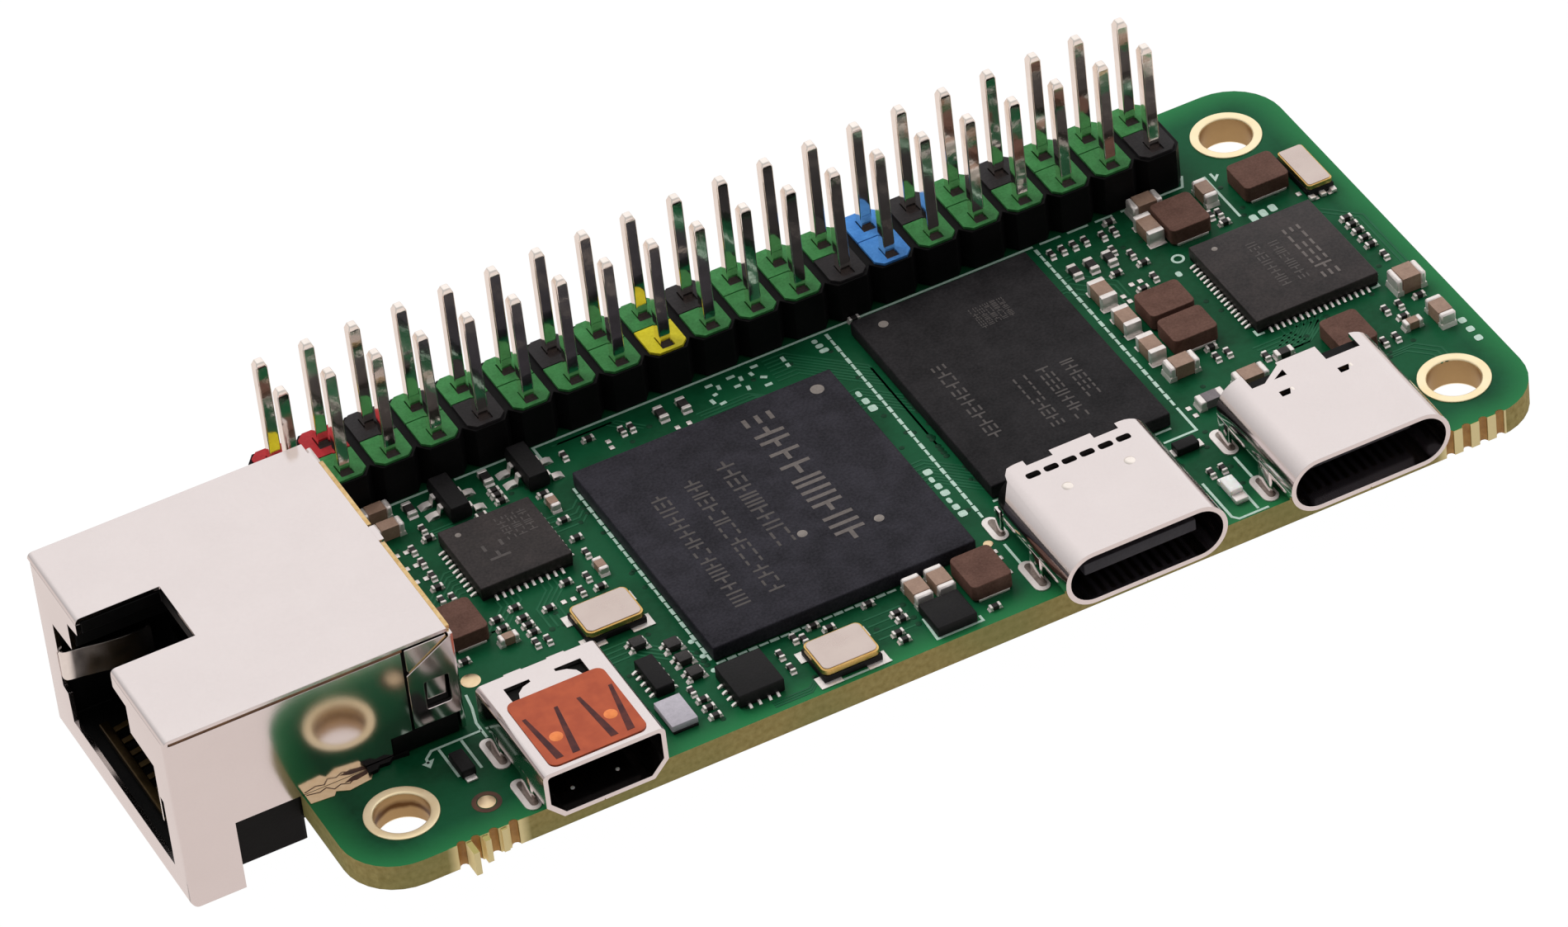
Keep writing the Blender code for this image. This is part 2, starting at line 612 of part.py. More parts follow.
def lead_outline(left, front, right, rear, count, pitch):
    """A square plate with a row of short leads out of each side."""
    half = pitch * 0.27
    offsets = [(i - (count - 1) / 2) * pitch for i in range(count)]
    x, y = (left + right) / 2, (front + rear) / 2
    reach = (right - left) / 2
    points = []
    for turn in range(4):
        along = Vector((1, 0)), Vector((0, 1)), Vector((-1, 0)), Vector((0, -1))
        side, out = along[turn], along[turn - 1]
        points.append(Vector((x, y)) - side * reach + out * reach)
        for offset in offsets:
            base = Vector((x, y)) + side * offset + out * reach
            points += [base - side * half, base - side * half + out * LEAD_REACH]
            points += [base + side * half + out * LEAD_REACH, base + side * half]
    return [tuple(point) for point in points]


def make_leaded_chips():
    for name, (left, front, right, rear, height, count, pitch) in LEADED_CHIPS.items():
        outline = lead_outline(left, front, right, rear, count, pitch)
        frame_top = GAP + LEAD_THICKNESS
        add_node(f"{name}_leads", extruded(f"{name}_leads", outline, GAP, frame_top), "pin_metal")
        body = boxes(name, ((left, front, frame_top + GAP), (right, rear, height)))
        add_node(name, body, "mould")


def make_crystals():
    for name, (left, front, right, rear) in CRYSTALS.items():
        base = boxes(f"{name}_base", ((left, front, GAP), (right, rear, CRYSTAL_BASE)))
        add_node(f"{name}_base", base, "ceramic_grey")
        lid = rounded_rectangle(
            left + CRYSTAL_RIM, front + CRYSTAL_RIM, right - CRYSTAL_RIM, rear - CRYSTAL_RIM, 0.3, 4
        )
        add_node(f"{name}_lid", extruded(f"{name}_lid", lid, CRYSTAL_BASE + GAP, CRYSTAL_TOP), "nickel")


def make_transistors():
    for name, (left, front, right, rear) in TRANSISTORS.items():
        body = add_node(name, boxes(name, ((left, front, 0.1), (right, rear, TRANSISTOR_TOP))), "mould")
        leads = []
        for side, offset in TRANSISTOR_LEADS:
            low, high = (left - 0.5, left + 0.3) if side == "left" else (right - 0.3, right + 0.5)
            leads.append(((low, front + offset - 0.2, GAP), (high, front + offset + 0.2, 0.25)))
        join(body, boxes(f"{name}_leads", *leads))


def under(depth):
    """Height of a point this far below the board's bottom face."""
    return -BOARD_THICKNESS - depth


def make_card_slot():
    left, front, right, rear, depth = CARD_SLOT
    sheet = CARD_SLOT_SHEET
    outer = ((left - sheet, front, under(depth + sheet)), (right + sheet, rear + sheet, under(GAP)))
    shell = add_node("microsd_shell", boxes("card_shell", outer), "nickel")
    block = boxes("card_body", ((left, front, under(depth)), (right, rear, under(GAP))))
    body = add_node("microsd_body", block, "black_plastic")
    inside = ((left - GAP, front - 1, under(depth + GAP)), (right + GAP, rear + GAP, 0.0))
    cut(shell, boxes("card_shell_inside", inside))
    middle = (left + right) / 2
    card = (
        (middle - CARD_WIDTH / 2, front - 1, under(depth - 0.2)),
        (middle + CARD_WIDTH / 2, front + CARD_DEPTH, under(depth - 0.2 - CARD_THICKNESS)),
    )
    cut(body, boxes("card_space", card))


def make_flex_connector():
    """A flat-cable connector under the right end, with a flip latch across its back."""
    x, depth = LATCH_AXIS
    outer = ((FLEX_LEFT, FLEX_FRONT, under(FLEX_DEPTH)), (FLEX_RIGHT, FLEX_REAR, under(GAP)))
    housing = add_node("camera_connector", boxes("flex_housing", outer), "black_plastic")
    room = LATCH_ROOM
    well = (
        (FLEX_LEFT - 1, FLEX_FRONT + LATCH_SIDE - room, under(FLEX_DEPTH + 1)),
        (x + LATCH_REACH + room, FLEX_REAR - LATCH_SIDE + room, under(depth - LATCH_HALF - 1.5 * room)),
    )
    shallow, deep = CABLE_DEPTHS
    cable = (
        (x + LATCH_REACH - room, FLEX_FRONT + LATCH_SIDE + room, under(deep)),
        (FLEX_RIGHT + 1, FLEX_REAR - LATCH_SIDE - room, under(shallow)),
    )
    cut(housing, boxes("latch_well", well), boxes("cable_space", cable))
    bar = (
        (x - LATCH_BACK, FLEX_FRONT + LATCH_SIDE, under(depth + LATCH_HALF)),
        (x + LATCH_REACH, FLEX_REAR - LATCH_SIDE, under(depth - LATCH_HALF)),
    )
    pivot = at(x, (FLEX_FRONT + FLEX_REAR) / 2, under(depth))
    add_node("camera_connector_latch", boxes("latch_bar", bar), "label_white", pivot)


def make_boot_button():
    left, front, right, rear, depth = BUTTON
    box = boxes("button_case", ((left, front, under(depth)), (right, rear, under(GAP))))
    case = add_node("boot_button_case", box, "nickel")
    x, y = (left + right) / 2, (front + rear) / 2
    half = PLUNGER_HALF + 0.05
    well = ((x - half, y - half, under(depth + 1)), (x + half, y + half, under(BUTTON_WELL)))
    cut(case, boxes("button_well", well))
    half = PLUNGER_HALF
    top, tip = PLUNGER_DEPTHS
    plunger = boxes("plunger", ((x - half, y - half, under(tip)), (x + half, y + half, under(top))))
    add_node("boot_button_plunger", plunger, "label_white", at(x, y, under(tip)))


def make_label():
    left, front, right, rear, thickness = LABEL
    label = boxes("label", ((left, front, under(GAP + thickness)), (right, rear, under(GAP))))
    add_node("underside_label", label, "label_white")


clear_scene()
parts = new_collection("single_board_computer")
tools = new_collection("cutters")
materials = {name: new_material(name, *values) for name, values in MATERIALS.items()}

make_board()
make_mounting_rings()
make_header()
make_jack_shield()
make_jack_rear_cover()
make_jack_housing()
make_jack_contacts()
make_jack_ground_springs()
make_hdmi_port()
make_usb_ports()
make_blocks()
make_leaded_chips()
make_crystals()
make_transistors()
make_card_slot()
make_flex_connector()
make_boot_button()
make_label()
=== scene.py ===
"""The looks of the single board computer: fine meshes, materials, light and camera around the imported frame.

Places are board millimetres: x from the board's left edge, y from its front edge, z from its top face.
"""

import math
import random

import bmesh
import bpy
from mathutils import Matrix, Vector


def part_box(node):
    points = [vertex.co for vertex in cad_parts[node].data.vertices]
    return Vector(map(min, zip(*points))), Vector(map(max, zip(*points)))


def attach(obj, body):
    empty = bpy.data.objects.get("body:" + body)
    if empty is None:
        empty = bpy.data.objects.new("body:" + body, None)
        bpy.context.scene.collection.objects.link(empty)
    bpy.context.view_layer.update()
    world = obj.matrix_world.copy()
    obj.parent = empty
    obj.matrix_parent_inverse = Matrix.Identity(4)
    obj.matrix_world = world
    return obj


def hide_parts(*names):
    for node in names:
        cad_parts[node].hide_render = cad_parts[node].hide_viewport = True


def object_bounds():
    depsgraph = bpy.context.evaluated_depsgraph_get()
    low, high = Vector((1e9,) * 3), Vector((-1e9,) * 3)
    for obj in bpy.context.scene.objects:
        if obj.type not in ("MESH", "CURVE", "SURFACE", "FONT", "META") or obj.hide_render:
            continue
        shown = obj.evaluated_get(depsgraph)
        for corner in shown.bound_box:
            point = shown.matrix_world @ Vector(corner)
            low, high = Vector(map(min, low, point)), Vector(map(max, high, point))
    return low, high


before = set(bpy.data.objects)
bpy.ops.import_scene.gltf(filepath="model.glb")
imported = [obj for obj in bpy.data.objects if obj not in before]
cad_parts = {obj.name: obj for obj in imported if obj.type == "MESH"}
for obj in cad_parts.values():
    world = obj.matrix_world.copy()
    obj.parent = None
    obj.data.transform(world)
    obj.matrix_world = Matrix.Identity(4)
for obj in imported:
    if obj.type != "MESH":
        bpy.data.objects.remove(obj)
cad_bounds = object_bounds()

MM = 0.001
BOARD_LENGTH, BOARD_WIDTH, BOARD_THICKNESS, BOARD_CORNER = 65.0, 30.0, 1.5, 3.0
board_low, board_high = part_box("circuit_board")

PIN_COUNT, PIN_PITCH, PIN_HALF = 20, 2.54, 0.32
HEADER_LEFT, HEADER_FRONT = 7.1, 23.96
HEADER_REAR = HEADER_FRONT + 2 * PIN_PITCH
PIN_ROWS = (HEADER_FRONT + PIN_PITCH / 2, HEADER_FRONT + PIN_PITCH * 3 / 2)
CAP_TOP, STRIP_TOP, STRIP_INSET = 2.54, 2.4, 0.24


def at(x, y, z):
    """Board millimetres to metres in the frame."""
    return Vector((board_low.x + x * MM, board_high.y + (y - BOARD_WIDTH) * MM, board_high.z + z * MM))


def measured(node):
    """A CAD node's left, front, low, right, rear and high, in board millimetres."""
    corners = [(corner - at(0, 0, 0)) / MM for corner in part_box(node)]
    return (*corners[0], *corners[1])


# ---------------------------------------------------------------- meshes


def new_box(bm, left, front, low, right, rear, high, bevel=0.0, segments=2):
    middle = at((left + right) / 2, (front + rear) / 2, (low + high) / 2)
    size = Vector((right - left, rear - front, high - low)) * MM
    place = Matrix.Translation(middle) @ Matrix.Diagonal((*size, 1.0))
    corners = bmesh.ops.create_cube(bm, size=1.0, matrix=place)["verts"]
    if bevel:
        edges = list({edge for corner in corners for edge in corner.link_edges})
        bmesh.ops.bevel(bm, geom=edges, offset=bevel * MM, segments=segments, profile=0.5, affect="EDGES")


def new_block(bm, x, y, half_x, half_y, low, high, bevel=0.0, segments=2):
    """A box about a middle point."""
    new_box(bm, x - half_x, y - half_y, low, x + half_x, y + half_y, high, bevel, segments)


def new_prism(bm, outline, low, high, along="z"):
    """A flat outline between two heights; its points are (x, y) along z, (x, z) along y, (y, z) along x."""

    def place(u, v, w):
        return {"z": at(u, v, w), "y": at(u, w, v), "x": at(w, u, v)}[along]

    bottom = [bm.verts.new(place(u, v, low)) for u, v in outline]
    top = [bm.verts.new(place(u, v, high)) for u, v in outline]
    bm.faces.new(bottom)
    bm.faces.new(top)
    for i in range(len(outline)):
        j = (i + 1) % len(outline)
        bm.faces.new((bottom[i], bottom[j], top[j], top[i]))


def new_turned(bm, x, y, section, segments=32, closed=False):
    """A section of (radius, height) points, turned about an upright axis. Zero radius closes it."""
    rings = []
    for radius, z in section:
        if radius < 1e-6:
            rings.append([bm.verts.new(at(x, y, z))])
            continue
        circle = arc(x, y, radius, 0, 360, segments)[:-1]
        rings.append([bm.verts.new(at(px, py, z)) for px, py in circle])
    pairs = list(zip(rings, rings[1:]))
    if closed:
        pairs.append((rings[-1], rings[0]))
    for lower, upper in pairs:
        for i in range(segments):
            j = (i + 1) % segments
            if len(lower) == 1:
                bm.faces.new((lower[0], upper[i], upper[j]))
            elif len(upper) == 1:
                bm.faces.new((lower[i], lower[j], upper[0]))
            else:
                bm.faces.new((lower[i], lower[j], upper[j], upper[i]))


def new_strip(bm, points, width, low, high):
    """A flat strip of one width along a path, with square ends and mitred corners."""
    path = [Vector(point) for point in points]
    left, right = [], []
    for i, point in enumerate(path):
        before = (point - path[i - 1]).normalized() if i else (path[1] - point).normalized()
        after = (path[i + 1] - point).normalized() if i + 1 < len(path) else before
        normal = Vector((-(before + after).y, (before + after).x)).normalized()
        reach = width / 2 / max(0.35, normal.dot(Vector((-before.y, before.x))))
        left.append(tuple(point + normal * reach))
        right.append(tuple(point - normal * reach))
    for i in range(len(path) - 1):
        new_prism(bm, [left[i], left[i + 1], right[i + 1], right[i]], low, high)


def new_loft(bm, rings):
    """Closed rings with the same number of points, joined and capped."""
    made = [[bm.verts.new(at(*point)) for point in ring] for ring in rings]
    for lower, upper in zip(made, made[1:]):
        for i in range(len(lower)):
            j = (i + 1) % len(lower)
            bm.faces.new((lower[i], lower[j], upper[j], upper[i]))
    bm.faces.new(made[0])
    bm.faces.new(made[-1])


def square(x, y, half, z, half_y=None):
    """The corners of a square at one height, or of an oblong where half_y is given."""
    half_y = half if half_y is None else half_y
    return [(px, py, z) for px, py in rectangle(x - half, y - half_y, x + half, y + half_y)]


def rectangle(left, front, right, rear):
    return [(left, front), (right, front), (right, rear), (left, rear)]


def arc(x, y, radius, start, end, steps):
    angles = [math.radians(start + (end - start) * i / steps) for i in range(steps + 1)]
    return [(x + radius * math.cos(angle), y + radius * math.sin(angle)) for angle in angles]


def rounded(left, low, right, high, radius, steps=6):
    return (
        arc(right - radius, high - radius, radius, 0, 90, steps)
        + arc(left + radius, high - radius, radius, 90, 180, steps)
        + arc(left + radius, low + radius, radius, 180, 270, steps)
        + arc(right - radius, low + radius, radius, 270, 360, steps)
    )


def to_object(name, bm):
    bmesh.ops.recalc_face_normals(bm, faces=bm.faces)
    mesh = bpy.data.meshes.new(name)
    bm.to_mesh(mesh)
    bm.free()
    made = bpy.data.objects.new(name, mesh)
    bpy.context.scene.collection.objects.link(made)
    return made


def carved(bm, *cutters):
    """A new bmesh: the solid without its cutters, which are bmeshes too."""
    body, *tools = [to_object("carving", solid) for solid in (bm, *cutters)]
    for tool in tools:
        cut = body.modifiers.new("cut", "BOOLEAN")
        cut.object = tool
        cut.use_self = True
    bpy.context.view_layer.update()
    mesh = bpy.data.meshes.new_from_object(body.evaluated_get(bpy.context.evaluated_depsgraph_get()))
    for used in (body, *tools):
        bpy.data.objects.remove(used)
    result = bmesh.new()
    result.from_mesh(mesh)
    bpy.data.meshes.remove(mesh)
    return result


def boxes(*sizes):
    bm = bmesh.new()
    for size in sizes:
        new_box(bm, *size)
    return bm


def prisms(*shapes, along="z"):
    bm = bmesh.new()
    for outline, low, high in shapes:
        new_prism(bm, outline, low, high, along)
    return bm


def soften(thing, width, segments=2, angle=35):
    bevel = thing.modifiers.new("soft_edges", "BEVEL")
    bevel.width = width * MM
    bevel.segments = segments
    bevel.limit_method = "ANGLE"
    bevel.angle_limit = math.radians(angle)
    bevel.harden_normals = True


def piece(name, bm, material, body="board", stands_for=(), soft=0.0, segments=2):
    """Makes the mesh a piece that moves with a body and may stand for CAD nodes."""
    made = to_object(name, bm)
    made.data.shade_smooth()
    made.data.set_sharp_from_angle(angle=math.radians(38))
    made.data.materials.append(M[material])
    if soft:
        soften(made, soft, segments)
    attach(made, body)
    if stands_for:
        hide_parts(*stands_for)
    return made


# ------------------------------------------------------------- materials


def link(tree, kind, settings=None, **sockets):
    """Adds a node, sets its properties, and sets or links its inputs, named or numbered as i0, i1, i2..."""
    made = tree.nodes.new("ShaderNode" + kind)
    for name, value in (settings or {}).items():
        setattr(made, name, value)
    for name, value in sockets.items():
        socket = made.inputs[int(name[1:])] if name[0] == "i" and name[1:].isdigit() else made.inputs[name]
        if isinstance(value, bpy.types.NodeSocket):
            tree.links.new(value, socket)
        else:
            socket.default_value = value
    return made


def place_of(tree):
    return link(tree, "TexCoord").outputs["Object"]


def noise(tree, grain, detail=3.0, rough=0.55):
    """Noise whose features are about grain millimetres across."""
    return link(
        tree, "TexNoise", Vector=place_of(tree), Scale=1 / (grain * MM), Detail=detail, Roughness=rough
    ).outputs["Fac"]


def mapped(tree, value, low, high, to_low=0.0, to_high=1.0):
    return link(tree, "MapRange", i0=value, i1=low, i2=high, i3=to_low, i4=to_high).outputs[0]


def blended(tree, factor, first, second):
    mix = tree.nodes.new("ShaderNodeMix")
    mix.data_type = "RGBA"
    for socket, value in ((mix.inputs[0], factor), (mix.inputs[6], first), (mix.inputs[7], second)):
        if isinstance(value, bpy.types.NodeSocket):
            tree.links.new(value, socket)
        else:
            socket.default_value = (*value, 1.0) if isinstance(value, tuple) else value
    return mix.outputs[2]


def maths(tree, operation, first, second=0.0, clamp=False):
    return link(tree, "Math", {"operation": operation, "use_clamp": clamp}, i0=first, i1=second).outputs[0]


def relief(tree, shader, height, depth, strength=0.6):
    bump = link(tree, "Bump", Height=height, Distance=depth * MM, Strength=strength)
    tree.links.new(bump.outputs["Normal"], shader.inputs["Normal"])


def new_material(name, metallic=0.0, roughness=0.5, specular=0.5, **sockets):
    material = bpy.data.materials.new(name)
    material.use_nodes = True
    tree = material.node_tree
    shader = tree.nodes["Principled BSDF"]
    sockets = {"Metallic": metallic, "Roughness": roughness, "Specular_IOR_Level": specular, **sockets}
    for socket, value in sockets.items():
        shader.inputs[socket.replace("_", " ")].default_value = value
    return material, tree, shader


M = {}


def finish(name, first, second, grain, roughness, metallic=0.0, spread=0.06, depth=0.0, fine=0.0, **sockets):
    """Adds a material of two tones mixed by noise, with varying roughness and a relief of the fine grain."""
    M[name], tree, shader = new_material(name, metallic, roughness, **sockets)
    broad = noise(tree, grain)
    if fine:
        broad_half = mapped(tree, broad, 0.35, 0.65, 0.0, 0.5)
        fine_half = mapped(tree, noise(tree, fine, 2.0), 0.3, 0.7, 0.0, 0.5)
        factor = maths(tree, "ADD", fine_half, broad_half, clamp=True)
    else:
        factor = mapped(tree, broad, 0.35, 0.65)
    tree.links.new(blended(tree, factor, first, second), shader.inputs["Base Color"])
    varied = mapped(tree, broad, 0.3, 0.7, roughness - spread, roughness + spread)
    tree.links.new(varied, shader.inputs["Roughness"])
    if depth:
        relief(tree, shader, noise(tree, fine or grain, 2.0), depth)


STUB_MIDDLES = (6.4, 60.6)


def distance_past_corners(tree, place):
    """How far a place is outside the rectangle through the middles of the board's round corners."""
    unlimited = 1e4  # height doesn't count
    inner = Vector((BOARD_LENGTH / 2 - BOARD_CORNER, BOARD_WIDTH / 2 - BOARD_CORNER, unlimited)) * MM
    away = link(tree, "VectorMath", {"operation": "ABSOLUTE"}, i0=place).outputs[0]
    past = link(tree, "VectorMath", {"operation": "SUBTRACT"}, i0=away, i1=inner).outputs[0]
    past = link(tree, "VectorMath", {"operation": "MAXIMUM"}, i0=past, i1=(0, 0, 0)).outputs[0]
    return link(tree, "VectorMath", {"operation": "LENGTH"}, i0=past).outputs["Value"]


def snapped_stubs(tree, place):
    """1 on the front edge where the panel stubs were snapped off, and 0 elsewhere."""
    where = link(tree, "SeparateXYZ", Vector=place).outputs
    near_stubs = []
    for middle in STUB_MIDDLES:
        gap = maths(tree, "ABSOLUTE", maths(tree, "SUBTRACT", where["X"], (middle - BOARD_LENGTH / 2) * MM))
        near_stubs.append(mapped(tree, gap, 1.7 * MM, 2.2 * MM, 1.0, 0.0))
    at_front = maths(tree, "LESS_THAN", where["Y"], (0.04 - BOARD_WIDTH / 2) * MM)
    return maths(tree, "MULTIPLY", at_front, maths(tree, "MAXIMUM", *near_stubs))


def board_material():
    """Green solder mask on both faces, set back from tan laminate edges with a soft lighter band."""
    material, tree, shader = new_material("board", roughness=0.4, specular=0.09)
    place = place_of(tree)
    wander = mapped(tree, noise(tree, 2.5), 0.3, 0.7, -0.07 * MM, 0.07 * MM)
    reach = maths(tree, "ADD", distance_past_corners(tree, place), wander)
    border = mapped(tree, reach, (BOARD_CORNER - 1.6) * MM, (BOARD_CORNER - 0.1) * MM)
    split = link(tree, "SeparateXYZ", Vector=link(tree, "NewGeometry").outputs["Normal"])
    upright = maths(tree, "ABSOLUTE", split.outputs["Z"])
    flat = mapped(tree, upright, 0.55, 0.75)
    pour = mapped(tree, noise(tree, 4.5, 1.0), 0.44, 0.56)
    mottle = mapped(tree, noise(tree, 0.35, 4.0), 0.3, 0.7)
    mask = blended(tree, pour, (0.0031, 0.059, 0.0215), (0.006, 0.087, 0.033))
    mask = blended(tree, maths(tree, "MULTIPLY", mottle, 0.35), mask, (0.0095, 0.11, 0.047))
    fibre = link(
        tree, "TexWave", {"bands_direction": "Z"}, Vector=place, Scale=520.0, Distortion=4.0, Detail=3.0
    )
    grain = mapped(tree, noise(tree, 0.3, 4.0), 0.3, 0.7)
    edge = blended(tree, grain, (0.27, 0.2, 0.064), (0.4, 0.31, 0.115))
    edge = blended(tree, mapped(tree, noise(tree, 7.0, 1.0), 0.4, 0.6, 0.0, 0.45), edge, (0.18, 0.21, 0.07))
    edge = blended(tree, maths(tree, "MULTIPLY", fibre.outputs["Fac"], 0.12), edge, (0.46, 0.39, 0.17))
    snapped = snapped_stubs(tree, place)
    edge = blended(tree, maths(tree, "MULTIPLY", snapped, 0.9), edge, (0.95, 0.77, 0.4))
    band = blended(tree, border, mask, (0.02, 0.19, 0.062))
    band = blended(tree, maths(tree, "MULTIPLY", snapped, 0.8), band, (0.6, 0.48, 0.17))
    tree.links.new(blended(tree, flat, edge, band), shader.inputs["Base Color"])
    rough = mapped(tree, flat, 0.0, 1.0, 0.75, 0.33)
    tree.links.new(rough, shader.inputs["Roughness"])
    height = maths(tree, "ADD", noise(tree, 0.6, 3.0), maths(tree, "MULTIPLY", pour, 0.6))
    relief(tree, shader, height, 0.02, 0.35)
    return material


def barrel_material():
    """Plating inside the holes, dark brown as painted shade; the ones at the jack's end are darker round
    their middle.
    """
    material, tree, shader = new_material("barrel", 1.0, 0.4)
    where = link(tree, "SeparateXYZ", Vector=place_of(tree)).outputs
    height = maths(tree, "ADD", where["Z"], mapped(tree, noise(tree, 1.2), 0.3, 0.7, -0.08 * MM, 0.08 * MM))
    # a darker band round the middle of the holes at the jack's end
    middle_band = mapped(tree, height, at(0, 0, -0.3).z, at(0, 0, -0.6).z)
    middle_band = maths(tree, "MULTIPLY", middle_band, mapped(tree, height, at(0, 0, -0.95).z, at(0, 0, -0.75).z))
    middle_band = maths(tree, "MULTIPLY", middle_band, mapped(tree, where["X"], 0.0, -10 * MM))
    # the plating's dark brown tones are painted shade inside the holes
    shaded_plating = blended(tree, noise(tree, 1.5), (0.38, 0.245, 0.11), (0.48, 0.32, 0.15))
    tree.links.new(blended(tree, middle_band, shaded_plating, (0.12, 0.055, 0.018)), shader.inputs["Base Color"])
    relief(tree, shader, noise(tree, 0.4), 0.01)
    return material


def tape_material():
    material, tree, shader = new_material("tape", 0.0, 0.36, 0.35, Coat_Weight=0.08, Coat_Roughness=0.3)
    tone = mapped(tree, noise(tree, 0.9, 2.0), 0.35, 0.65)
    tree.links.new(blended(tree, tone, (0.4, 0.058, 0.012), (0.48, 0.08, 0.019)), shader.inputs["Base Color"])
    relief(tree, shader, noise(tree, 1.4, 1.0), 0.03, 0.4)
    return material


def make_board_finishes():
    finish("trace", (0.01, 0.098, 0.042), (0.016, 0.125, 0.056), 1.5, 0.4, specular=0.15)
    finish("via", (0.003, 0.034, 0.014), (0.006, 0.05, 0.022), 1.0, 0.45, specular=0.15)
    finish("ink", (0.42, 0.62, 0.52), (0.62, 0.8, 0.7), 0.25, 0.6, fine=0.08)
    finish("scorch", (0.38, 0.18, 0.045), (0.52, 0.28, 0.08), 0.6, 0.7)
    finish("dark_joint", (0.05, 0.018, 0.01), (0.12, 0.05, 0.025), 0.8, 0.6)
    finish("paper", (0.72, 0.72, 0.7), (0.82, 0.82, 0.8), 1.2, 0.55, fine=0.12, depth=0.01)


def make_metals():
    finish("gold", (0.78, 0.58, 0.34), (0.88, 0.7, 0.46), 1.2, 0.34, 1.0, depth=0.004, fine=0.3)
    # gold contacts made near black as painted shade inside the ports' mouths
    finish("shaded_contact_gold", (0.035, 0.022, 0.009), (0.06, 0.04, 0.016), 1.2, 0.4, 1.0, fine=0.3)
    finish("spring_nickel", (0.8, 0.74, 0.7), (0.86, 0.8, 0.76), 1.5, 0.2, 1.0, fine=0.2)
    finish("ring_gold", (0.95, 0.78, 0.48), (0.99, 0.86, 0.58), 1.6, 0.36, 0.85)
    finish("solder", (0.8, 0.745, 0.715), (0.9, 0.845, 0.815), 0.5, 0.4, 0.55, depth=0.008, fine=0.25)
    finish("flux", (0.16, 0.13, 0.11), (0.32, 0.27, 0.24), 0.4, 0.4, 0.8, fine=0.12)
    finish("pin", (0.86, 0.79, 0.73), (0.95, 0.88, 0.82), 1.5, 0.08, 1.0, spread=0.02, depth=0.008, fine=0.6)
    nickel = (0.72, 0.655, 0.645), (0.75, 0.685, 0.675)
    finish("nickel", *nickel, 3.0, 0.13, 1.0, spread=0.015, depth=0.001, fine=0.12)
    finish("cut_edge", (0.55, 0.34, 0.12), (0.8, 0.6, 0.32), 0.8, 0.35, 1.0, fine=0.15)
    finish("seam", (0.13, 0.05, 0.015), (0.24, 0.11, 0.04), 0.8, 0.5)
    finish("lid", (0.58, 0.485, 0.445), (0.63, 0.535, 0.49), 1.4, 0.3, 1.0)
    finish("crystal_gold", (0.6, 0.36, 0.1), (0.74, 0.5, 0.19), 0.8, 0.3, 1.0, fine=0.1)


def make_mouldings():
    for name, first, second, grain, roughness, depth, fine, specular in (
        ("black", (0.0012, 0.0012, 0.0012), (0.003, 0.003, 0.003), 1.5, 0.5, 0.01, 0.15, 0.12),
        ("strip", (0.0012, 0.0011, 0.0012), (0.0035, 0.003, 0.0035), 1.5, 0.55, 0.01, 0.2, 0.1),
        ("mould", (0.006, 0.0055, 0.009), (0.036, 0.034, 0.044), 1.5, 0.6, 0.006, 0.14, 0.15),
        # a warmer mould for the power and network chips: the warm tone is its own, its lighter tones are a
        # painted sheen
        ("mould_warm_sheen", (0.011, 0.009, 0.0095), (0.045, 0.0365, 0.036), 1.5, 0.5, 0.006, 0.14, 0.22),
        ("mould_deep", (0.005, 0.0045, 0.0055), (0.027, 0.025, 0.027), 1.5, 0.6, 0.006, 0.14, 0.13),
        ("mould_dark", (0.002, 0.002, 0.002), (0.01, 0.009, 0.01), 0.8, 0.55, 0.006, 0.12, 0.18),
        ("well", (0.025, 0.018, 0.018), (0.05, 0.04, 0.04), 0.5, 0.6, 0.0, 0.12, 0.15),
        ("tongue", (0.02, 0.019, 0.024), (0.034, 0.032, 0.04), 0.8, 0.5, 0.0, 0.14, 0.3),
        ("cell_red", (0.3, 0.012, 0.018), (0.46, 0.028, 0.034), 0.7, 0.55, 0.008, 0.15, 0.2),
        ("cell_yellow", (0.6, 0.52, 0.012), (0.76, 0.68, 0.035), 0.7, 0.55, 0.008, 0.15, 0.2),
        ("cell_green", (0.026, 0.15, 0.036), (0.055, 0.25, 0.075), 0.7, 0.55, 0.008, 0.15, 0.2),
        ("cell_blue", (0.04, 0.19, 0.55), (0.085, 0.3, 0.72), 0.7, 0.55, 0.008, 0.15, 0.2),
        ("cell_black", (0.01, 0.009, 0.01), (0.028, 0.025, 0.027), 0.7, 0.55, 0.008, 0.15, 0.2),
        ("ferrite", (0.085, 0.04, 0.029), (0.155, 0.082, 0.063), 0.9, 0.65, 0.012, 0.12, 0.15),
        ("light_plastic", (0.62, 0.59, 0.52), (0.72, 0.69, 0.62), 1.0, 0.45, 0.006, 0.1, 0.5),
    ):
        finish(name, first, second, grain, roughness, depth=depth, fine=fine, specular=specular)


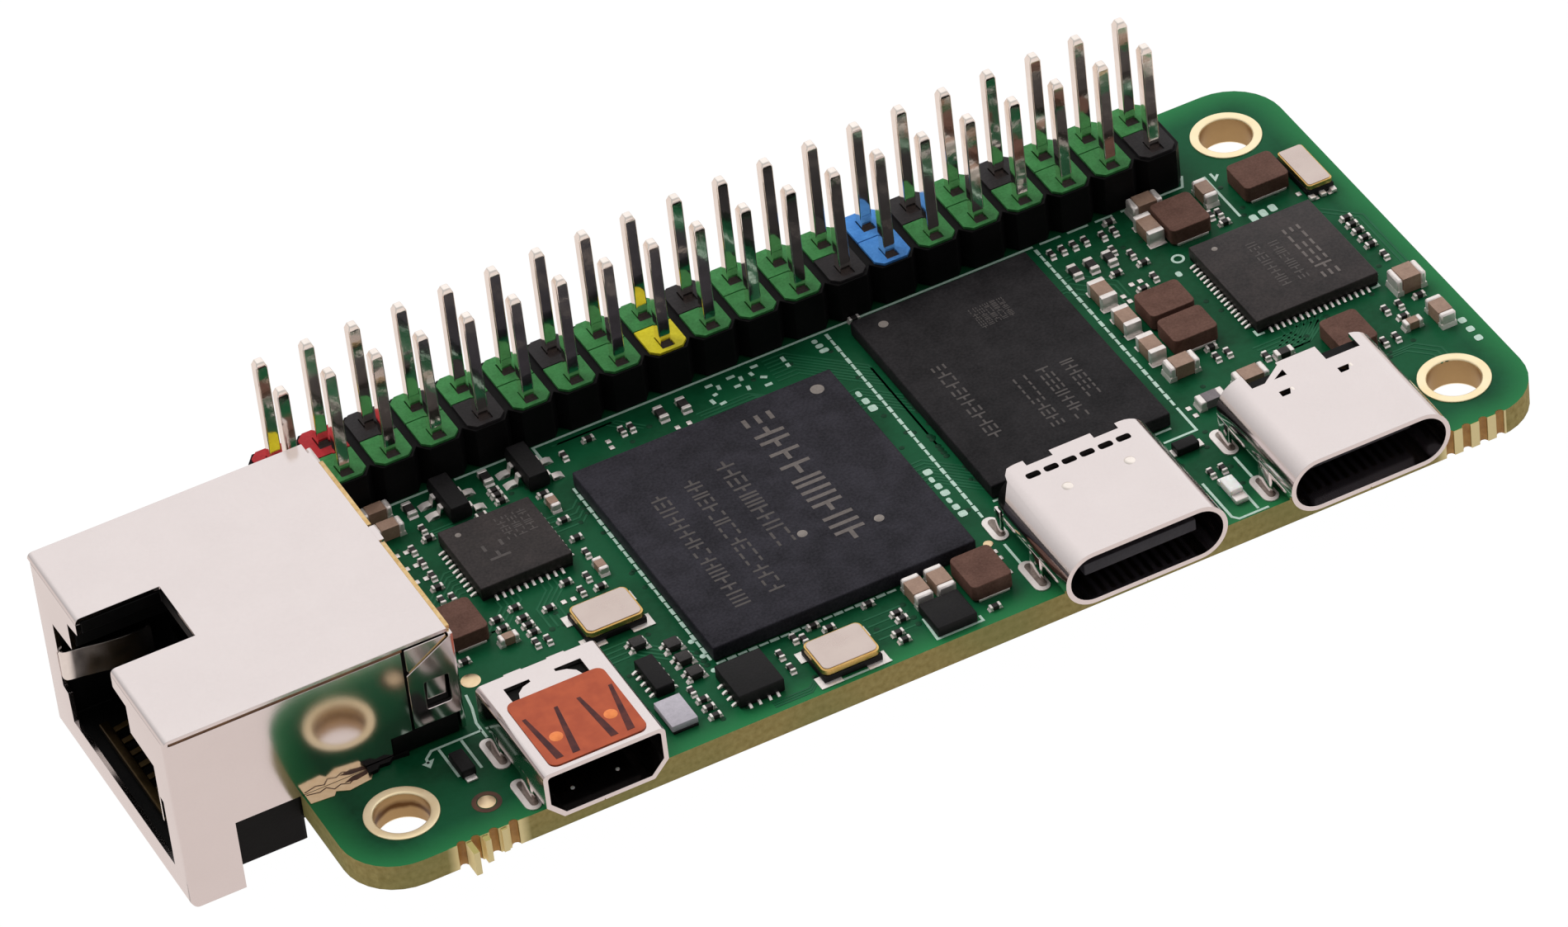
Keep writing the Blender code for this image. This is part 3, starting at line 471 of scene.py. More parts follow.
def make_small_finishes():
    finish("etch", (0.1, 0.085, 0.08), (0.17, 0.15, 0.14), 0.3, 0.75, fine=0.1)
    finish("etch_faint", (0.055, 0.048, 0.047), (0.095, 0.084, 0.08), 0.3, 0.75, fine=0.1)
    finish("dot", (0.19, 0.165, 0.15), (0.26, 0.23, 0.21), 0.4, 0.6, fine=0.1)
    finish("ceramic", (0.27, 0.165, 0.115), (0.37, 0.24, 0.175), 0.5, 0.42, fine=0.12, depth=0.006)
    finish("ceramic_dark", (0.008, 0.007, 0.007), (0.03, 0.026, 0.025), 0.4, 0.45, fine=0.1, specular=0.3)
    finish("ceramic_grey_dark", (0.14, 0.12, 0.13), (0.2, 0.175, 0.185), 0.5, 0.45, fine=0.12)
    finish("ceramic_grey", (0.4, 0.38, 0.43), (0.52, 0.49, 0.55), 0.7, 0.45, fine=0.12)
    glow_through = {"Subsurface_Weight": 0.3, "Subsurface_Scale": 0.5 * MM}
    finish("led", (0.86, 0.86, 0.83), (0.95, 0.95, 0.93), 0.5, 0.25, **glow_through)
    # dark red-brown strips, painted as the shade along the tape's creases
    finish("crease", (0.06, 0.02, 0.022), (0.12, 0.036, 0.03), 0.6, 0.5, specular=0.15)
    # a brighter orange, painted as the highlight on the tape's raised bumps
    finish("glow", (0.78, 0.18, 0.03), (0.9, 0.26, 0.05), 0.4, 0.35)
    lit = {"Emission_Strength": 1.0, "Emission_Color": (1.0, 1.0, 1.0, 1.0)}
    finish("floor", (0.01, 0.01, 0.01), (0.012, 0.012, 0.012), 60.0, 1.0, specular=0.0, **lit)


M["board"], M["barrel"], M["tape"] = board_material(), barrel_material(), tape_material()
make_board_finishes()
make_metals()
make_mouldings()
make_small_finishes()


# ----------------------------------------------------------------- board


def mounting_holes():
    sides = {"left": 3.5, "right": BOARD_LENGTH - 3.5}
    rows = {"front": 3.5, "rear": BOARD_WIDTH - 3.5}
    return {f"{row}_{side}": (sides[side], rows[row]) for row in rows for side in sides}


def make_board():
    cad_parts["circuit_board"].data.materials.clear()
    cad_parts["circuit_board"].data.materials.append(M["board"])
    rise, fall, inner, outer = 0.08, 0.11, 1.375, 1.87
    lip, edge, skin = 0.12, 0.05, 0.005
    bottom, deepest = -BOARD_THICKNESS, -BOARD_THICKNESS - 0.07
    for place, (x, y) in mounting_holes().items():
        bm = bmesh.new()
        section = arc(inner + lip, rise - lip, lip, 180, 90, 4)
        section += arc(outer - edge, rise - edge, edge, 90, 0, 3)
        section += [(outer, skin), (inner + 0.1, skin), (inner + 0.1, bottom - skin), (outer, bottom - skin)]
        section += arc(outer - edge, deepest + 0.04, edge, 0, -90, 3)
        section += arc(inner + lip, deepest + fall, lip, -90, -180, 4)
        new_turned(bm, x, y, section, 64, closed=True)
        piece(f"plated_ring_{place}", bm, "ring_gold", stands_for=(f"mounting_ring_{place}",))
        barrel = bmesh.new()
        new_turned(barrel, x, y, rectangle(inner - 0.012, -0.04, inner + 0.05, -1.46), 64, closed=True)
        piece(f"ring_barrel_{place}", barrel, "barrel")


def make_panel_stubs():
    """Brown linings in the grooves along which the panel stubs were snapped off."""
    bm = bmesh.new()
    groove, lining = 0.215, 0.245
    for x in (5.0, 5.75, 6.7, 7.75, 59.2, 60.15, 61.1, 62.05):
        section = arc(x, 0.0, lining, 20, 160, 8) + arc(x, 0.0, groove, 160, 20, 8)
        new_prism(bm, section, -BOARD_THICKNESS + 0.03, -0.03)
    piece("scorched_grooves", bm, "scorch")


# ---------------------------------------------------------------- header

REAR_CELLS = "rrkgggkggkgggbkgkggg"
FRONT_CELLS = "ygggkgggygggkbgggggk"
CELL_COLOURS = {"r": "red", "y": "yellow", "g": "green", "b": "blue", "k": "black"}


def pin_columns():
    return [HEADER_LEFT + PIN_PITCH * (i + 0.5) for i in range(PIN_COUNT)]


def make_header():
    joints = [HEADER_LEFT + i * PIN_PITCH for i in range(PIN_COUNT + 1)]
    notch, depth = 0.45, 0.58
    near, far = HEADER_FRONT + STRIP_INSET, HEADER_REAR - STRIP_INSET
    front, rear = [], []
    for x in joints:
        front += [(x - notch, near), (x, near + depth), (x + notch, near)]
        rear += [(x - notch, far), (x, far - depth), (x + notch, far)]
    outline = front[1:-1] + rear[1:-1][::-1]
    strip = prisms((outline, 0.05, STRIP_TOP))
    piece("header_strip", strip, "strip", stands_for=("gpio_header_body",), soft=0.04)
    wells = [rectangle(*pin_well(x, y)) for x in pin_columns() for y in PIN_ROWS]
    floors = prisms(*((well, STRIP_TOP - 0.1, STRIP_TOP + 0.02) for well in wells))
    piece("header_well_floors", floors, "well")
    for letter, colour in CELL_COLOURS.items():
        caps, holes = [], []
        for row, cells, side in ((PIN_ROWS[0], FRONT_CELLS, -1), (PIN_ROWS[1], REAR_CELLS, 1)):
            for x, cell in zip(pin_columns(), cells):
                if cell == letter:
                    caps.append((cap_outline(x, row, side), STRIP_TOP - 0.05, CAP_TOP))
                    holes.append((rectangle(*pin_well(x, row)), STRIP_TOP - 0.2, CAP_TOP + 1))
        bm = carved(prisms(*caps), prisms(*holes))
        piece(f"header_cells_{colour}", bm, f"cell_{colour}", soft=0.02)
    make_pins()


def pin_well(x, y):
    """The left, front, right and rear of the space round a pin, which is wider in front of it than behind."""
    return (x - 0.35, y - 0.68, x + 0.35, y + 0.35)


def cap_outline(x, row, side):
    """A cell's raised top: straight at the row boundary, with its outer corners cut off."""
    half, chamfer = 1.02, 0.38
    near = row - side * (PIN_PITCH / 2 - 0.03)
    far = row + side * (PIN_PITCH / 2 - 0.34)
    return [
        (x - half, near),
        (x + half, near),
        (x + half, far - side * chamfer),
        (x + half - chamfer, far),
        (x - half + chamfer, far),
        (x - half, far - side * chamfer),
    ]


def make_pins():
    rng = random.Random(7)
    top, bottom, taper, tip, straight = 8.88, -3.0, 0.34, 0.19, 2.0
    shaft = [(z, PIN_HALF) for z in (bottom + taper, 1.0, top - taper)]
    sections = [(bottom, tip), *shaft, (top, tip)]
    for name, y in zip(("front", "rear"), PIN_ROWS):
        bm = bmesh.new()
        for x in pin_columns():
            lean_x, lean_y = rng.uniform(-0.04, 0.04), rng.uniform(-0.04, 0.04)
            rings = []
            for z, half in sections:
                share = max(0.0, z - straight) / (top - straight)
                rings.append(square(x + lean_x * share, y + lean_y * share, half, z))
            new_loft(bm, rings)
        node = f"gpio_pins_{name}_row"
        piece(f"header_pins_{name}", bm, "pin", stands_for=(node,), soft=0.07, segments=3)


# ------------------------------------------------------------------ jack

JACK_LEFT, JACK_RIGHT, JACK_FRONT, JACK_REAR, JACK_TOP, JACK_BOTTOM = -6.4, 8.5, 7.2, 23.4, 6.6, -4.15
MOUTH_FRONT, MOUTH_REAR = 9.2, 21.5
MOUTH_MIDDLE = (MOUTH_FRONT + MOUTH_REAR) / 2
LATCH_FRONT, LATCH_REAR = 13.4, 17.6  # the slot for a plug's latch
ROOF_LOW = 6.24
SHEET = 0.25


def jack_wall_plan():
    """The side walls and the mouth plate from above, as one bent sheet with rounded corners."""
    outer, inner = 0.4, 0.15
    left, front, rear = JACK_LEFT, JACK_FRONT, JACK_REAR
    end = 6.0
    outside = arc(left + outer, front + outer, outer, 270, 180, 6)
    outside += arc(left + outer, rear - outer, outer, 180, 90, 6)
    left += SHEET
    inside = arc(left + inner, rear - SHEET - inner, inner, 90, 180, 6)
    inside += arc(left + inner, front + SHEET + inner, inner, 180, 270, 6)
    return [(end, front)] + outside + [(end, rear), (end, rear - SHEET)] + inside + [(end, front + SHEET)]


def make_jack_shield():
    mouth = [(8.75, -2.45), (20.8, -2.45), (20.9, -0.65), (21.45, -0.55), (MOUTH_REAR, 1.65), (21.3, 1.7)]
    mouth += [(21.3, 3.6), (18.9, 3.75), (18.9, 5.4), (LATCH_REAR, 5.6), (LATCH_REAR, 9.0)]
    mouth += [(LATCH_FRONT, 9.0), (LATCH_FRONT, 5.5), (11.9, 5.4), (11.9, 3.7), (9.25, 3.6), (9.25, 1.75)]
    mouth += [(8.75, 1.65)]
    walls = prisms((jack_wall_plan(), JACK_BOTTOM, ROOF_LOW))
    fold = 0.35
    past = JACK_BOTTOM - 1
    below = [(-3.55, 0.05), (-3.55, past), (9.0, past), (9.0, 1.25), (4.85, 1.25), (4.85, 0.05)]
    corner = [(JACK_LEFT - 1, past), (JACK_LEFT + fold, past)]
    corner += arc(JACK_LEFT + fold, JACK_BOTTOM + fold, fold, 270, 180, 6)
    corner += [(JACK_LEFT - 1, JACK_BOTTOM + fold)]
    walls = carved(
        walls,
        prisms((mouth, JACK_LEFT - 1, JACK_LEFT + 1), along="x"),
        prisms((below, JACK_FRONT - 1, JACK_REAR + 1), along="y"),
        prisms((corner, JACK_FRONT - 1, JACK_REAR + 1), along="y"),
    )
    node = "ethernet_shield"
    piece("jack_side_walls", walls, "nickel", stands_for=(node,), soft=0.04)
    outer = 0.3
    outside = arc(JACK_LEFT + outer, JACK_TOP - outer, outer, 180, 90, 6)
    profile = [(JACK_LEFT, 6.27)] + outside + [(JACK_RIGHT, JACK_TOP), (JACK_RIGHT, 6.38)]
    profile += [(JACK_LEFT + SHEET, 6.38), (JACK_LEFT + SHEET, 6.27)]
    roof = carved(
        prisms((profile, JACK_FRONT + 0.02, JACK_REAR - 0.02), along="y"),
        boxes((JACK_LEFT - 1, LATCH_FRONT, 5.0, -1.9, LATCH_REAR, 8.0), (8.35, 22.6, 5.0, 9.5, 24.0, 8.0)),
    )
    piece("jack_roof", roof, "nickel", stands_for=(node,), soft=0.05, segments=3)
    tab = [(6.2, 6.27), (6.2, 4.95), (6.3, 4.85), (8.4, 6.2), (8.4, 6.27)]
    tabs = prisms((tab, JACK_FRONT, JACK_FRONT + SHEET), (tab, JACK_REAR - SHEET, JACK_REAR), along="y")
    piece("jack_roof_tabs", tabs, "nickel", soft=0.04)
    edges = bmesh.new()
    slant = [(6.3, 4.78), (8.4, 6.13), (8.4, 6.24), (6.3, 4.9)]
    for front in (JACK_FRONT, JACK_REAR - SHEET):
        new_prism(edges, slant, front, front + SHEET, along="y")
    for front, rear in ((7.5, 14.7), (16.2, 21.8)):
        new_box(edges, JACK_RIGHT + 0.02, front, 6.22, JACK_RIGHT + 0.26, rear, 6.5, 0.04)
    piece("jack_cut_edges", edges, "cut_edge")
    groove = bmesh.new()
    for front in (JACK_FRONT + 0.06, JACK_REAR - 0.2):
        new_box(groove, JACK_LEFT + 0.3, front, 6.2, 6.1, front + 0.14, 6.4)
    piece("jack_seam_shadow", groove, "seam")


def make_jack_cover():
    left, right = JACK_RIGHT + 0.03, JACK_RIGHT + 0.28
    plate = boxes((left, JACK_FRONT + 0.02, 0.12, right, JACK_REAR - 0.02, 6.2, 0.05))
    new_box(plate, JACK_RIGHT - 0.4, 14.8, 6.33, right + 0.02, 16.0, 6.58, 0.05)
    flap = [(left + 0.1, 1.25), (left + 0.1, 6.12), (6.14, 4.66), (6.14, 1.25)]
    window = rounded(6.95, 2.15, 8.25, 3.85, 0.12, 3)
    sides = ("front", JACK_FRONT, JACK_FRONT, 1), ("rear", JACK_REAR - SHEET, JACK_REAR, -1)
    for name, y, base, inward in sides:
        cutter = prisms((window, y - 1, y + 1), along="y")
        flaps = carved(prisms((flap, y, y + SHEET), along="y"), cutter)
        piece(f"jack_cover_flap_{name}", flaps, "nickel", soft=0.04)
        tongue = bmesh.new()
        near, far = base + inward * 0.1, base + inward * 0.3
        ring = [(7.1, near, 3.8), (8.1, near, 3.8), (8.1, far, 2.3), (7.1, far, 2.3)]
        back = [(px, py + inward * 0.12, pz) for px, py, pz in ring]
        new_loft(tongue, [ring, back])
        piece(f"jack_cover_tongue_{name}", tongue, "nickel", soft=0.03)
    piece("jack_rear_plate", plate, "nickel", stands_for=("ethernet_rear_cover",))


def make_jack_housing():
    front, rear = JACK_FRONT + SHEET + 0.02, JACK_REAR - SHEET - 0.02
    left = JACK_LEFT + SHEET + 0.03
    top, under_board, over_board = 6.3, -2.95, 0.05
    side = [(left, top), (left, -3.85), (-3.65, -3.85), (-3.65, under_board), (-0.1, under_board)]
    side += [(-0.1, over_board), (8.2, over_board), (8.2, top)]
    body = carved(
        prisms((side, front, rear), along="y"),
        boxes((left - 1, MOUTH_FRONT, -2.6, 5.0, MOUTH_REAR, 3.76)),
        boxes((left - 1, 12.0, 3.7, 4.0, 18.9, 5.6)),
        boxes((left - 1, LATCH_FRONT, 5.5, -1.9, LATCH_REAR, 8.0)),
    )
    piece("jack_moulding", body, "black", stands_for=("ethernet_housing",), soft=0.06)
    foot = boxes(
        (4.9, JACK_FRONT + 0.02, 0.06, 8.4, JACK_REAR - 0.02, 1.2, 0.05),
        (-3.45, JACK_FRONT + 0.28, under_board, 0.0, JACK_FRONT + 1.5, -0.02, 0.05),
        (-3.45, JACK_REAR - 1.5, under_board, 0.0, JACK_REAR - 0.28, -0.02, 0.05),
        (-0.5, 8.8, -2.9, 5.2, 21.8, 0.3, 0.05),
    )
    piece("jack_foot", foot, "black")


def make_jack_contacts():
    """Eight round-nosed spring wires on a bar at the hinge, bent down at their tips."""
    bm = bmesh.new()
    new_block(bm, -5.3, MOUTH_MIDDLE, 0.25, 4.3, -2.5, -2.1, 0.08, 3)
    wires, pitch, half, thick = 8, 1.016, 0.18, 0.2
    top = [(-5.3, -2.2), (-2.0, -1.62), (2.2, -0.82), (2.75, -0.75), (3.0, -0.9)]
    side = top + [(px, pz - thick) for px, pz in top[::-1]]
    for i in range(wires):
        y = MOUTH_MIDDLE + (i - (wires - 1) / 2) * pitch
        new_prism(bm, side, y - half, y + half, along="y")
    node = "ethernet_contacts"
    piece("jack_contact_wires", bm, "shaded_contact_gold", body=node, stands_for=(node,), soft=0.04)


def make_ground_springs():
    """Two fingers that roll in at the mouth's edge, on its rear and front sides."""
    line = [(-6.36, 6.12), (-6.33, 5.98), (-6.24, 5.87), (-6.08, 5.81), (-5.75, 5.76), (-5.2, 5.66)]
    line += [(-4.3, 5.46), (-3.4, 5.32), (-2.6, 5.28), (-2.1, 5.34), (-1.7, 5.5)]
    thick, high = 0.14, 1.8
    for name, flip in (("rear", 1), ("front", -1)):
        outside = [(px, MOUTH_MIDDLE + flip * py) for px, py in line]
        inside = [(px, MOUTH_MIDDLE + flip * (py - thick)) for px, py in line[::-1]]
        node = f"ethernet_ground_spring_{name}"
        bm = prisms((outside + inside, 0.0, high))
        piece(f"jack_finger_{name}", bm, "spring_nickel", body=node, stands_for=(node,), soft=0.03)


# ----------------------------------------------------------------- ports

SHELL_LOW = 0.05
HDMI_LEFT, HDMI_RIGHT, HDMI_TOP = 9.16, 15.66, 3.0
USB_WIDTH, USB_HEIGHT, USB_WALL = 8.94, 3.16, 0.26
USB_LEVEL = SHELL_LOW + USB_HEIGHT / 2
OTG_MIDDLE, HOST_MIDDLE = 41.5, 54.0


def hdmi_outline(inset):
    left, right, low, high = HDMI_LEFT + inset, HDMI_RIGHT - inset, SHELL_LOW + inset, HDMI_TOP - inset
    across, up, radius = 0.84 - inset * 0.45, 0.9 - inset * 0.45, 0.34 - inset * 0.6
    top = arc(right - radius, high - radius, radius, 0, 90, 6)
    top += arc(left + radius, high - radius, radius, 90, 180, 6)
    return top + [(left, low + up), (left + across, low), (right - across, low), (right, low + up)]


def make_hdmi_port():
    front, rear = -1.0, 6.57
    shell = prisms((hdmi_outline(0), front, rear - 0.12), along="y")
    inside = prisms((hdmi_outline(SHEET), front - 1, rear + 1), along="y")
    hooks = []
    for x, side, reach in ((10.3, 1, 1.35), (14.4, -1, 1.4)):
        outline = [(x, 5.6), (x + side * reach, 5.6), (x + side * reach, 5.4)]
        outline += [(x + side * 0.85, 5.25), (x + side * 0.5, 4.95), (x + side * 0.28, 4.3), (x, 4.3)]
        hooks.append((outline, 2.5, 4.0))
    seam = rectangle(12.13, front - 1, 12.17, rear + 1), -1.0, 0.12
    shell = carved(shell, inside, prisms(*hooks), prisms(seam))
    for left, right in ((10.7, 11.7), (13.0, 14.0)):
        new_box(shell, left, rear - 0.2, 2.75, right, rear, 3.0, 0.06)
    piece("hdmi_metal_shell", shell, "nickel", stands_for=("hdmi_shell",), soft=0.05)
    block = prisms((hdmi_outline(SHEET + 0.04), 3.6, rear - 0.3), along="y")
    new_box(block, 10.1, 0.5, 1.35, 14.7, 3.8, 1.95, 0.06)
    piece("hdmi_moulding", block, "black", stands_for=("hdmi_tongue",))
    # two small domes on the shell's floor, white as painted glints in the dark mouth
    dots = bmesh.new()
    for x in (11.1, 13.5):  # on the shell's floor, just inside the mouth
        new_turned(dots, x, 0.35, [(0.13, 0.24), (0.1, 0.33), (0.05, 0.36), (0.0, 0.365)], 16)
    piece("hdmi_floor_dimple_glints", dots, "led")
    contacts = bmesh.new()
    for i in range(19):
        for low in (1.94, 1.33):
            new_block(contacts, 10.4 + i * 0.222, 2.35, 0.05, 1.05, low, low + 0.03)
    piece("hdmi_contacts", contacts, "shaded_contact_gold")
    tape = prisms((rounded(9.8, -0.7, 15.0, 4.5, 0.45), 3.01, 3.07))
    piece("hdmi_amber_tape", tape, "tape", stands_for=("hdmi_tape",), soft=0.02)
    creases, bumps = bmesh.new(), bmesh.new()
    for x in (9.95, 12.85):
        for (x0, y0), (x1, y1) in (((x + 0.2, 3.05), (x + 0.5, -0.3)), ((x + 1.9, 3.05), (x + 1.35, -0.35))):
            new_prism(creases, [(x0 - 0.1, y0), (x0 + 0.1, y0), (x1 + 0.2, y1), (x1 - 0.2, y1)], 3.065, 3.078)
        new_turned(bumps, x + 1.0, 1.15, [(0.36, 3.066), (0.28, 3.085), (0.12, 3.095), (0.0, 3.098)], 20)
    # the creases are dark strips of painted shade
    piece("hdmi_tape_crease_shade", creases, "crease")
    # the bumps' brighter orange is a painted highlight
    piece("hdmi_tape_bump_highlights", bumps, "glow")


def usb_outline(middle, inset):
    radius = USB_HEIGHT / 2 - inset
    reach = (USB_WIDTH - USB_HEIGHT) / 2
    right_end = arc(middle + reach, USB_LEVEL, radius, -90, 90, 18)
    return right_end + arc(middle - reach, USB_LEVEL, radius, 90, 270, 18)


def make_usb_port(name, middle, rear, openings, tongue_front, clipped=()):
    """clipped holds outlines cut from the whole height of the shell, where openings are cut from its roof."""
    front, above = -1.45, 4.21
    shell = prisms((usb_outline(middle, 0), front, rear), along="y")
    inside = prisms((usb_outline(middle, USB_WALL), front - 1, rear + 1), along="y")
    cuts = [(outline, 2.4, above) for outline in openings] + [(outline, 0.4, above) for outline in clipped]
    seam = boxes((middle - 0.12, front - 1, -1.0, middle - 0.07, rear + 1, 0.12))
    shell = carved(shell, inside, prisms(*cuts), seam)
    piece(f"{name}_metal_shell", shell, "nickel", stands_for=(f"{name}_shell",), soft=0.045)
    block = prisms((usb_outline(middle, USB_WALL + 0.03), 4.2, rear - 0.35), along="y")
    piece(f"{name}_moulding", block, "black", stands_for=(f"{name}_tongue",))
    half, skin = 0.35, 0.02
    tongue = boxes((middle - 3.1, tongue_front, USB_LEVEL - half, middle + 3.1, 4.3, USB_LEVEL + half, 0.08))
    piece(f"{name}_tongue_bar", tongue, "tongue")
    contacts = bmesh.new()
    for i in range(12):
        x = middle + (i - 5.5) * 0.5
        for low in (USB_LEVEL + half - 0.01, USB_LEVEL - half - skin):
            new_box(contacts, x - 0.12, tongue_front + 0.5, low, x + 0.12, 4.0, low + 0.03)
    piece(f"{name}_contacts", contacts, "shaded_contact_gold")


def make_shell_legs():
    """Folded feet that drop from each shell's sides into the board's slots."""
    bm = bmesh.new()
    usb_legs = [(middle - USB_WIDTH / 2, middle + USB_WIDTH / 2) for middle in (OTG_MIDDLE, HOST_MIDDLE)]
    ports = (HDMI_LEFT, HDMI_RIGHT), *usb_legs
    for (left, right), rows in zip(ports, ((4.8, 1.4), (6.0, 1.9), (5.5, 1.4))):
        for x in (left + 0.1, right - 0.1):
            for y in rows:
                new_box(bm, x - 0.12, y - 0.55, -1.9, x + 0.12, min(y + 0.55, 6.0), 1.5, 0.08)
    piece("shell_legs", bm, "nickel")


def make_usb_ports():
    slot_middles = (38.95, 39.95, 40.95, 41.95, 42.97, 43.97)
    slots = [rounded(x - 0.38, 5.0, x + 0.38, 5.42, 0.14, 3) for x in slot_middles]
    notches = [rectangle(39.0, 5.98, 40.45, 7.5), rectangle(42.75, 5.98, 44.1, 7.5)]
    corner = [[(36.0, 5.0), (37.2, 5.0), (37.75, 5.7), (37.85, 6.1), (38.1, 6.4), (38.1, 8.0), (36.0, 8.0)]]
    make_usb_port("usb_otg", OTG_MIDDLE, 6.4, slots + notches, -0.75, corner)
    lever = [(51.05, 4.95), (51.75, 4.95), (52.95, 5.85), (52.95, 7.0), (51.05, 7.0)]
    notches = [lever, [(52.3, 4.95), (53.0, 4.95), (53.0, 5.4)], rectangle(55.2, 4.9, 57.1, 7.0)]
    windows = [[(x - 0.3, 3.6), (x + 0.15, 3.6), (x + 0.35, 4.0), (x - 0.3, 4.0)] for x in (52.3, 55.6)]
    make_usb_port("usb_host", HOST_MIDDLE, 6.05, notches + windows, 0.1)
    # the roof's dimples and the host's two ridges are in the brighter pin metal as painted highlights
    dimples = bmesh.new()
    for x, y in ((39.95, 3.55), (43.4, 3.55)):
        new_turned(dimples, x, y, [(0.3, 3.19), (0.26, 3.25), (0.17, 3.29), (0.08, 3.305), (0.0, 3.31)], 24)
    for x, y in ((52.7, 3.85), (56.0, 3.85)):
        new_box(dimples, x - 0.1, y - 0.15, 3.1, x + 0.12, y + 0.2, 3.24, 0.1, 3)
    piece("usb_roof_dimple_highlights", dimples, "pin")


# ----------------------------------------------------------------- chips


def chip_body(name, node, material, bevel):
    bm = boxes((*measured(node), bevel, 3))
    piece(name, bm, material, stands_for=(node,))


def mark_rows(name, node, rows, seed, material="etch"):
    """Faint rows of plain bar signs where a chip is laser-marked, running from rear to front."""
    rng = random.Random(seed)
    high = measured(node)[5]
    bm = bmesh.new()
    for x, rear, front, size in rows:
        y, stroke = rear, size * 0.15
        while y - size * 0.55 > front:
            deep = size * rng.choice((0.42, 0.5, 0.56))
            left, right = x - size / 2, x + size / 2
            across = [(left, base, right, base + stroke) for base in (y - deep, y - stroke)]
            along = [(base, y - deep, base + stroke, y) for base in (left, x - stroke / 2, right - stroke)]
            bars = rng.choice((across, along[::2], [across[0], along[1]], [across[1], along[1]], along))
            for i, bar in enumerate(bars):  # crossing bars end at different heights
                new_prism(bm, rectangle(*bar), high + 0.001 - i * 0.0004, high + 0.006 + i * 0.002)
            y -= deep + size * 0.22
    piece(name, bm, material)


def make_chips():
    for name, node, material, bevel in (
        ("processor", "processor", "mould", 0.08), ("memory", "memory", "mould_deep", 0.08),
        ("power_chip", "power_chip", "mould_warm_sheen", 0.06),
        ("network_chip", "network_chip", "mould_warm_sheen", 0.06),
        ("usb_switch", "usb_switch_chip", "mould_dark", 0.05),
        ("load_switch", "load_switch_chip", "mould_dark", 0.05),
        ("hdmi_array", "hdmi_esd_array", "mould_dark", 0.06),
    ):
        chip_body(f"{name}_package", node, material, bevel)
    processor_rows = [(27.6, 17.0, 9.2, 0.95), (25.6, 16.6, 6.6, 0.85), (23.7, 16.4, 6.8, 0.85)]
    memory_rows = [(45.6, 14.5, 11.2, 0.7), (44.3, 14.6, 9.9, 0.7), (43.0, 14.6, 9.9, 0.7)]
    memory_rows += [(40.0, 17.6, 10.6, 0.75), *((x, 20.6, 18.8, 0.3) for x in (43.5, 43.9, 44.3, 44.7, 45.1))]
    network_rows = [(17.6, 19.4, 17.6, 0.45), (17.0, 19.4, 17.3, 0.45), (16.4, 19.4, 17.3, 0.45)]
    faint = "etch_faint"
    for name, node, rows, *seed_and_material in (
        ("processor_large", "processor", [(30.6, 19.2, 8.2, 1.6)], 1),
        ("processor_small", "processor", processor_rows, 5, faint),
        ("memory", "memory", memory_rows, 2, faint),
        ("power_chip_large", "power_chip", [(60.1, 17.4, 12.9, 0.95)], 3),
        ("power_chip_small", "power_chip", [(58.8, 16.9, 13.2, 0.55), (57.8, 17.4, 13.2, 0.55)], 6, faint),
        ("network_chip", "network_chip", network_rows + [(15.3, 17.9, 15.9, 1.1)], 4, faint),
    ):
        mark_rows(f"{name}_marks", node, rows, *seed_and_material)
    dots = bmesh.new()
    for node, x, y, radius in (
        ("processor", 34.15, 19.3, 0.36), ("processor", 28.5, 10.0, 0.26), ("processor", 32.2, 8.95, 0.26),
        ("memory", 39.3, 22.0, 0.26), ("network_chip", 14.2, 19.3, 0.16), ("power_chip", 56.1, 18.0, 0.16),
    ):
        high = measured(node)[5]
        new_turned(dots, x, y, [(radius, high + 0.001), (radius * 0.92, high + 0.01), (0.0, high + 0.01)], 24)
    piece("pin_one_dots", dots, "dot")


def make_inductors():
    for name in ("core", "graphics", "memory", "logic", "input", "host", "network"):
        node = f"inductor_{name}"
        left, front, low, right, rear, high = measured(node)
        bm = prisms((rounded(left, front, right, rear, 0.28, 4), low + 0.06, high))
        piece(f"power_inductor_{name}", bm, "ferrite", stands_for=(node,), soft=0.05, segments=3)
        for end in (front - 0.04, rear - 0.3):
            new_box(TERMINALS, left + 0.25, end, 0.01, right - 0.25, end + 0.44, 0.16, 0.03)


def plate_inside(node, inset, radius, low, high):
    """A plate with round corners, set in from a CAD node's outline."""
    left, front, _, right, rear, _ = measured(node)
    return prisms((rounded(left + inset, front + inset, right - inset, rear - inset, radius), low, high))


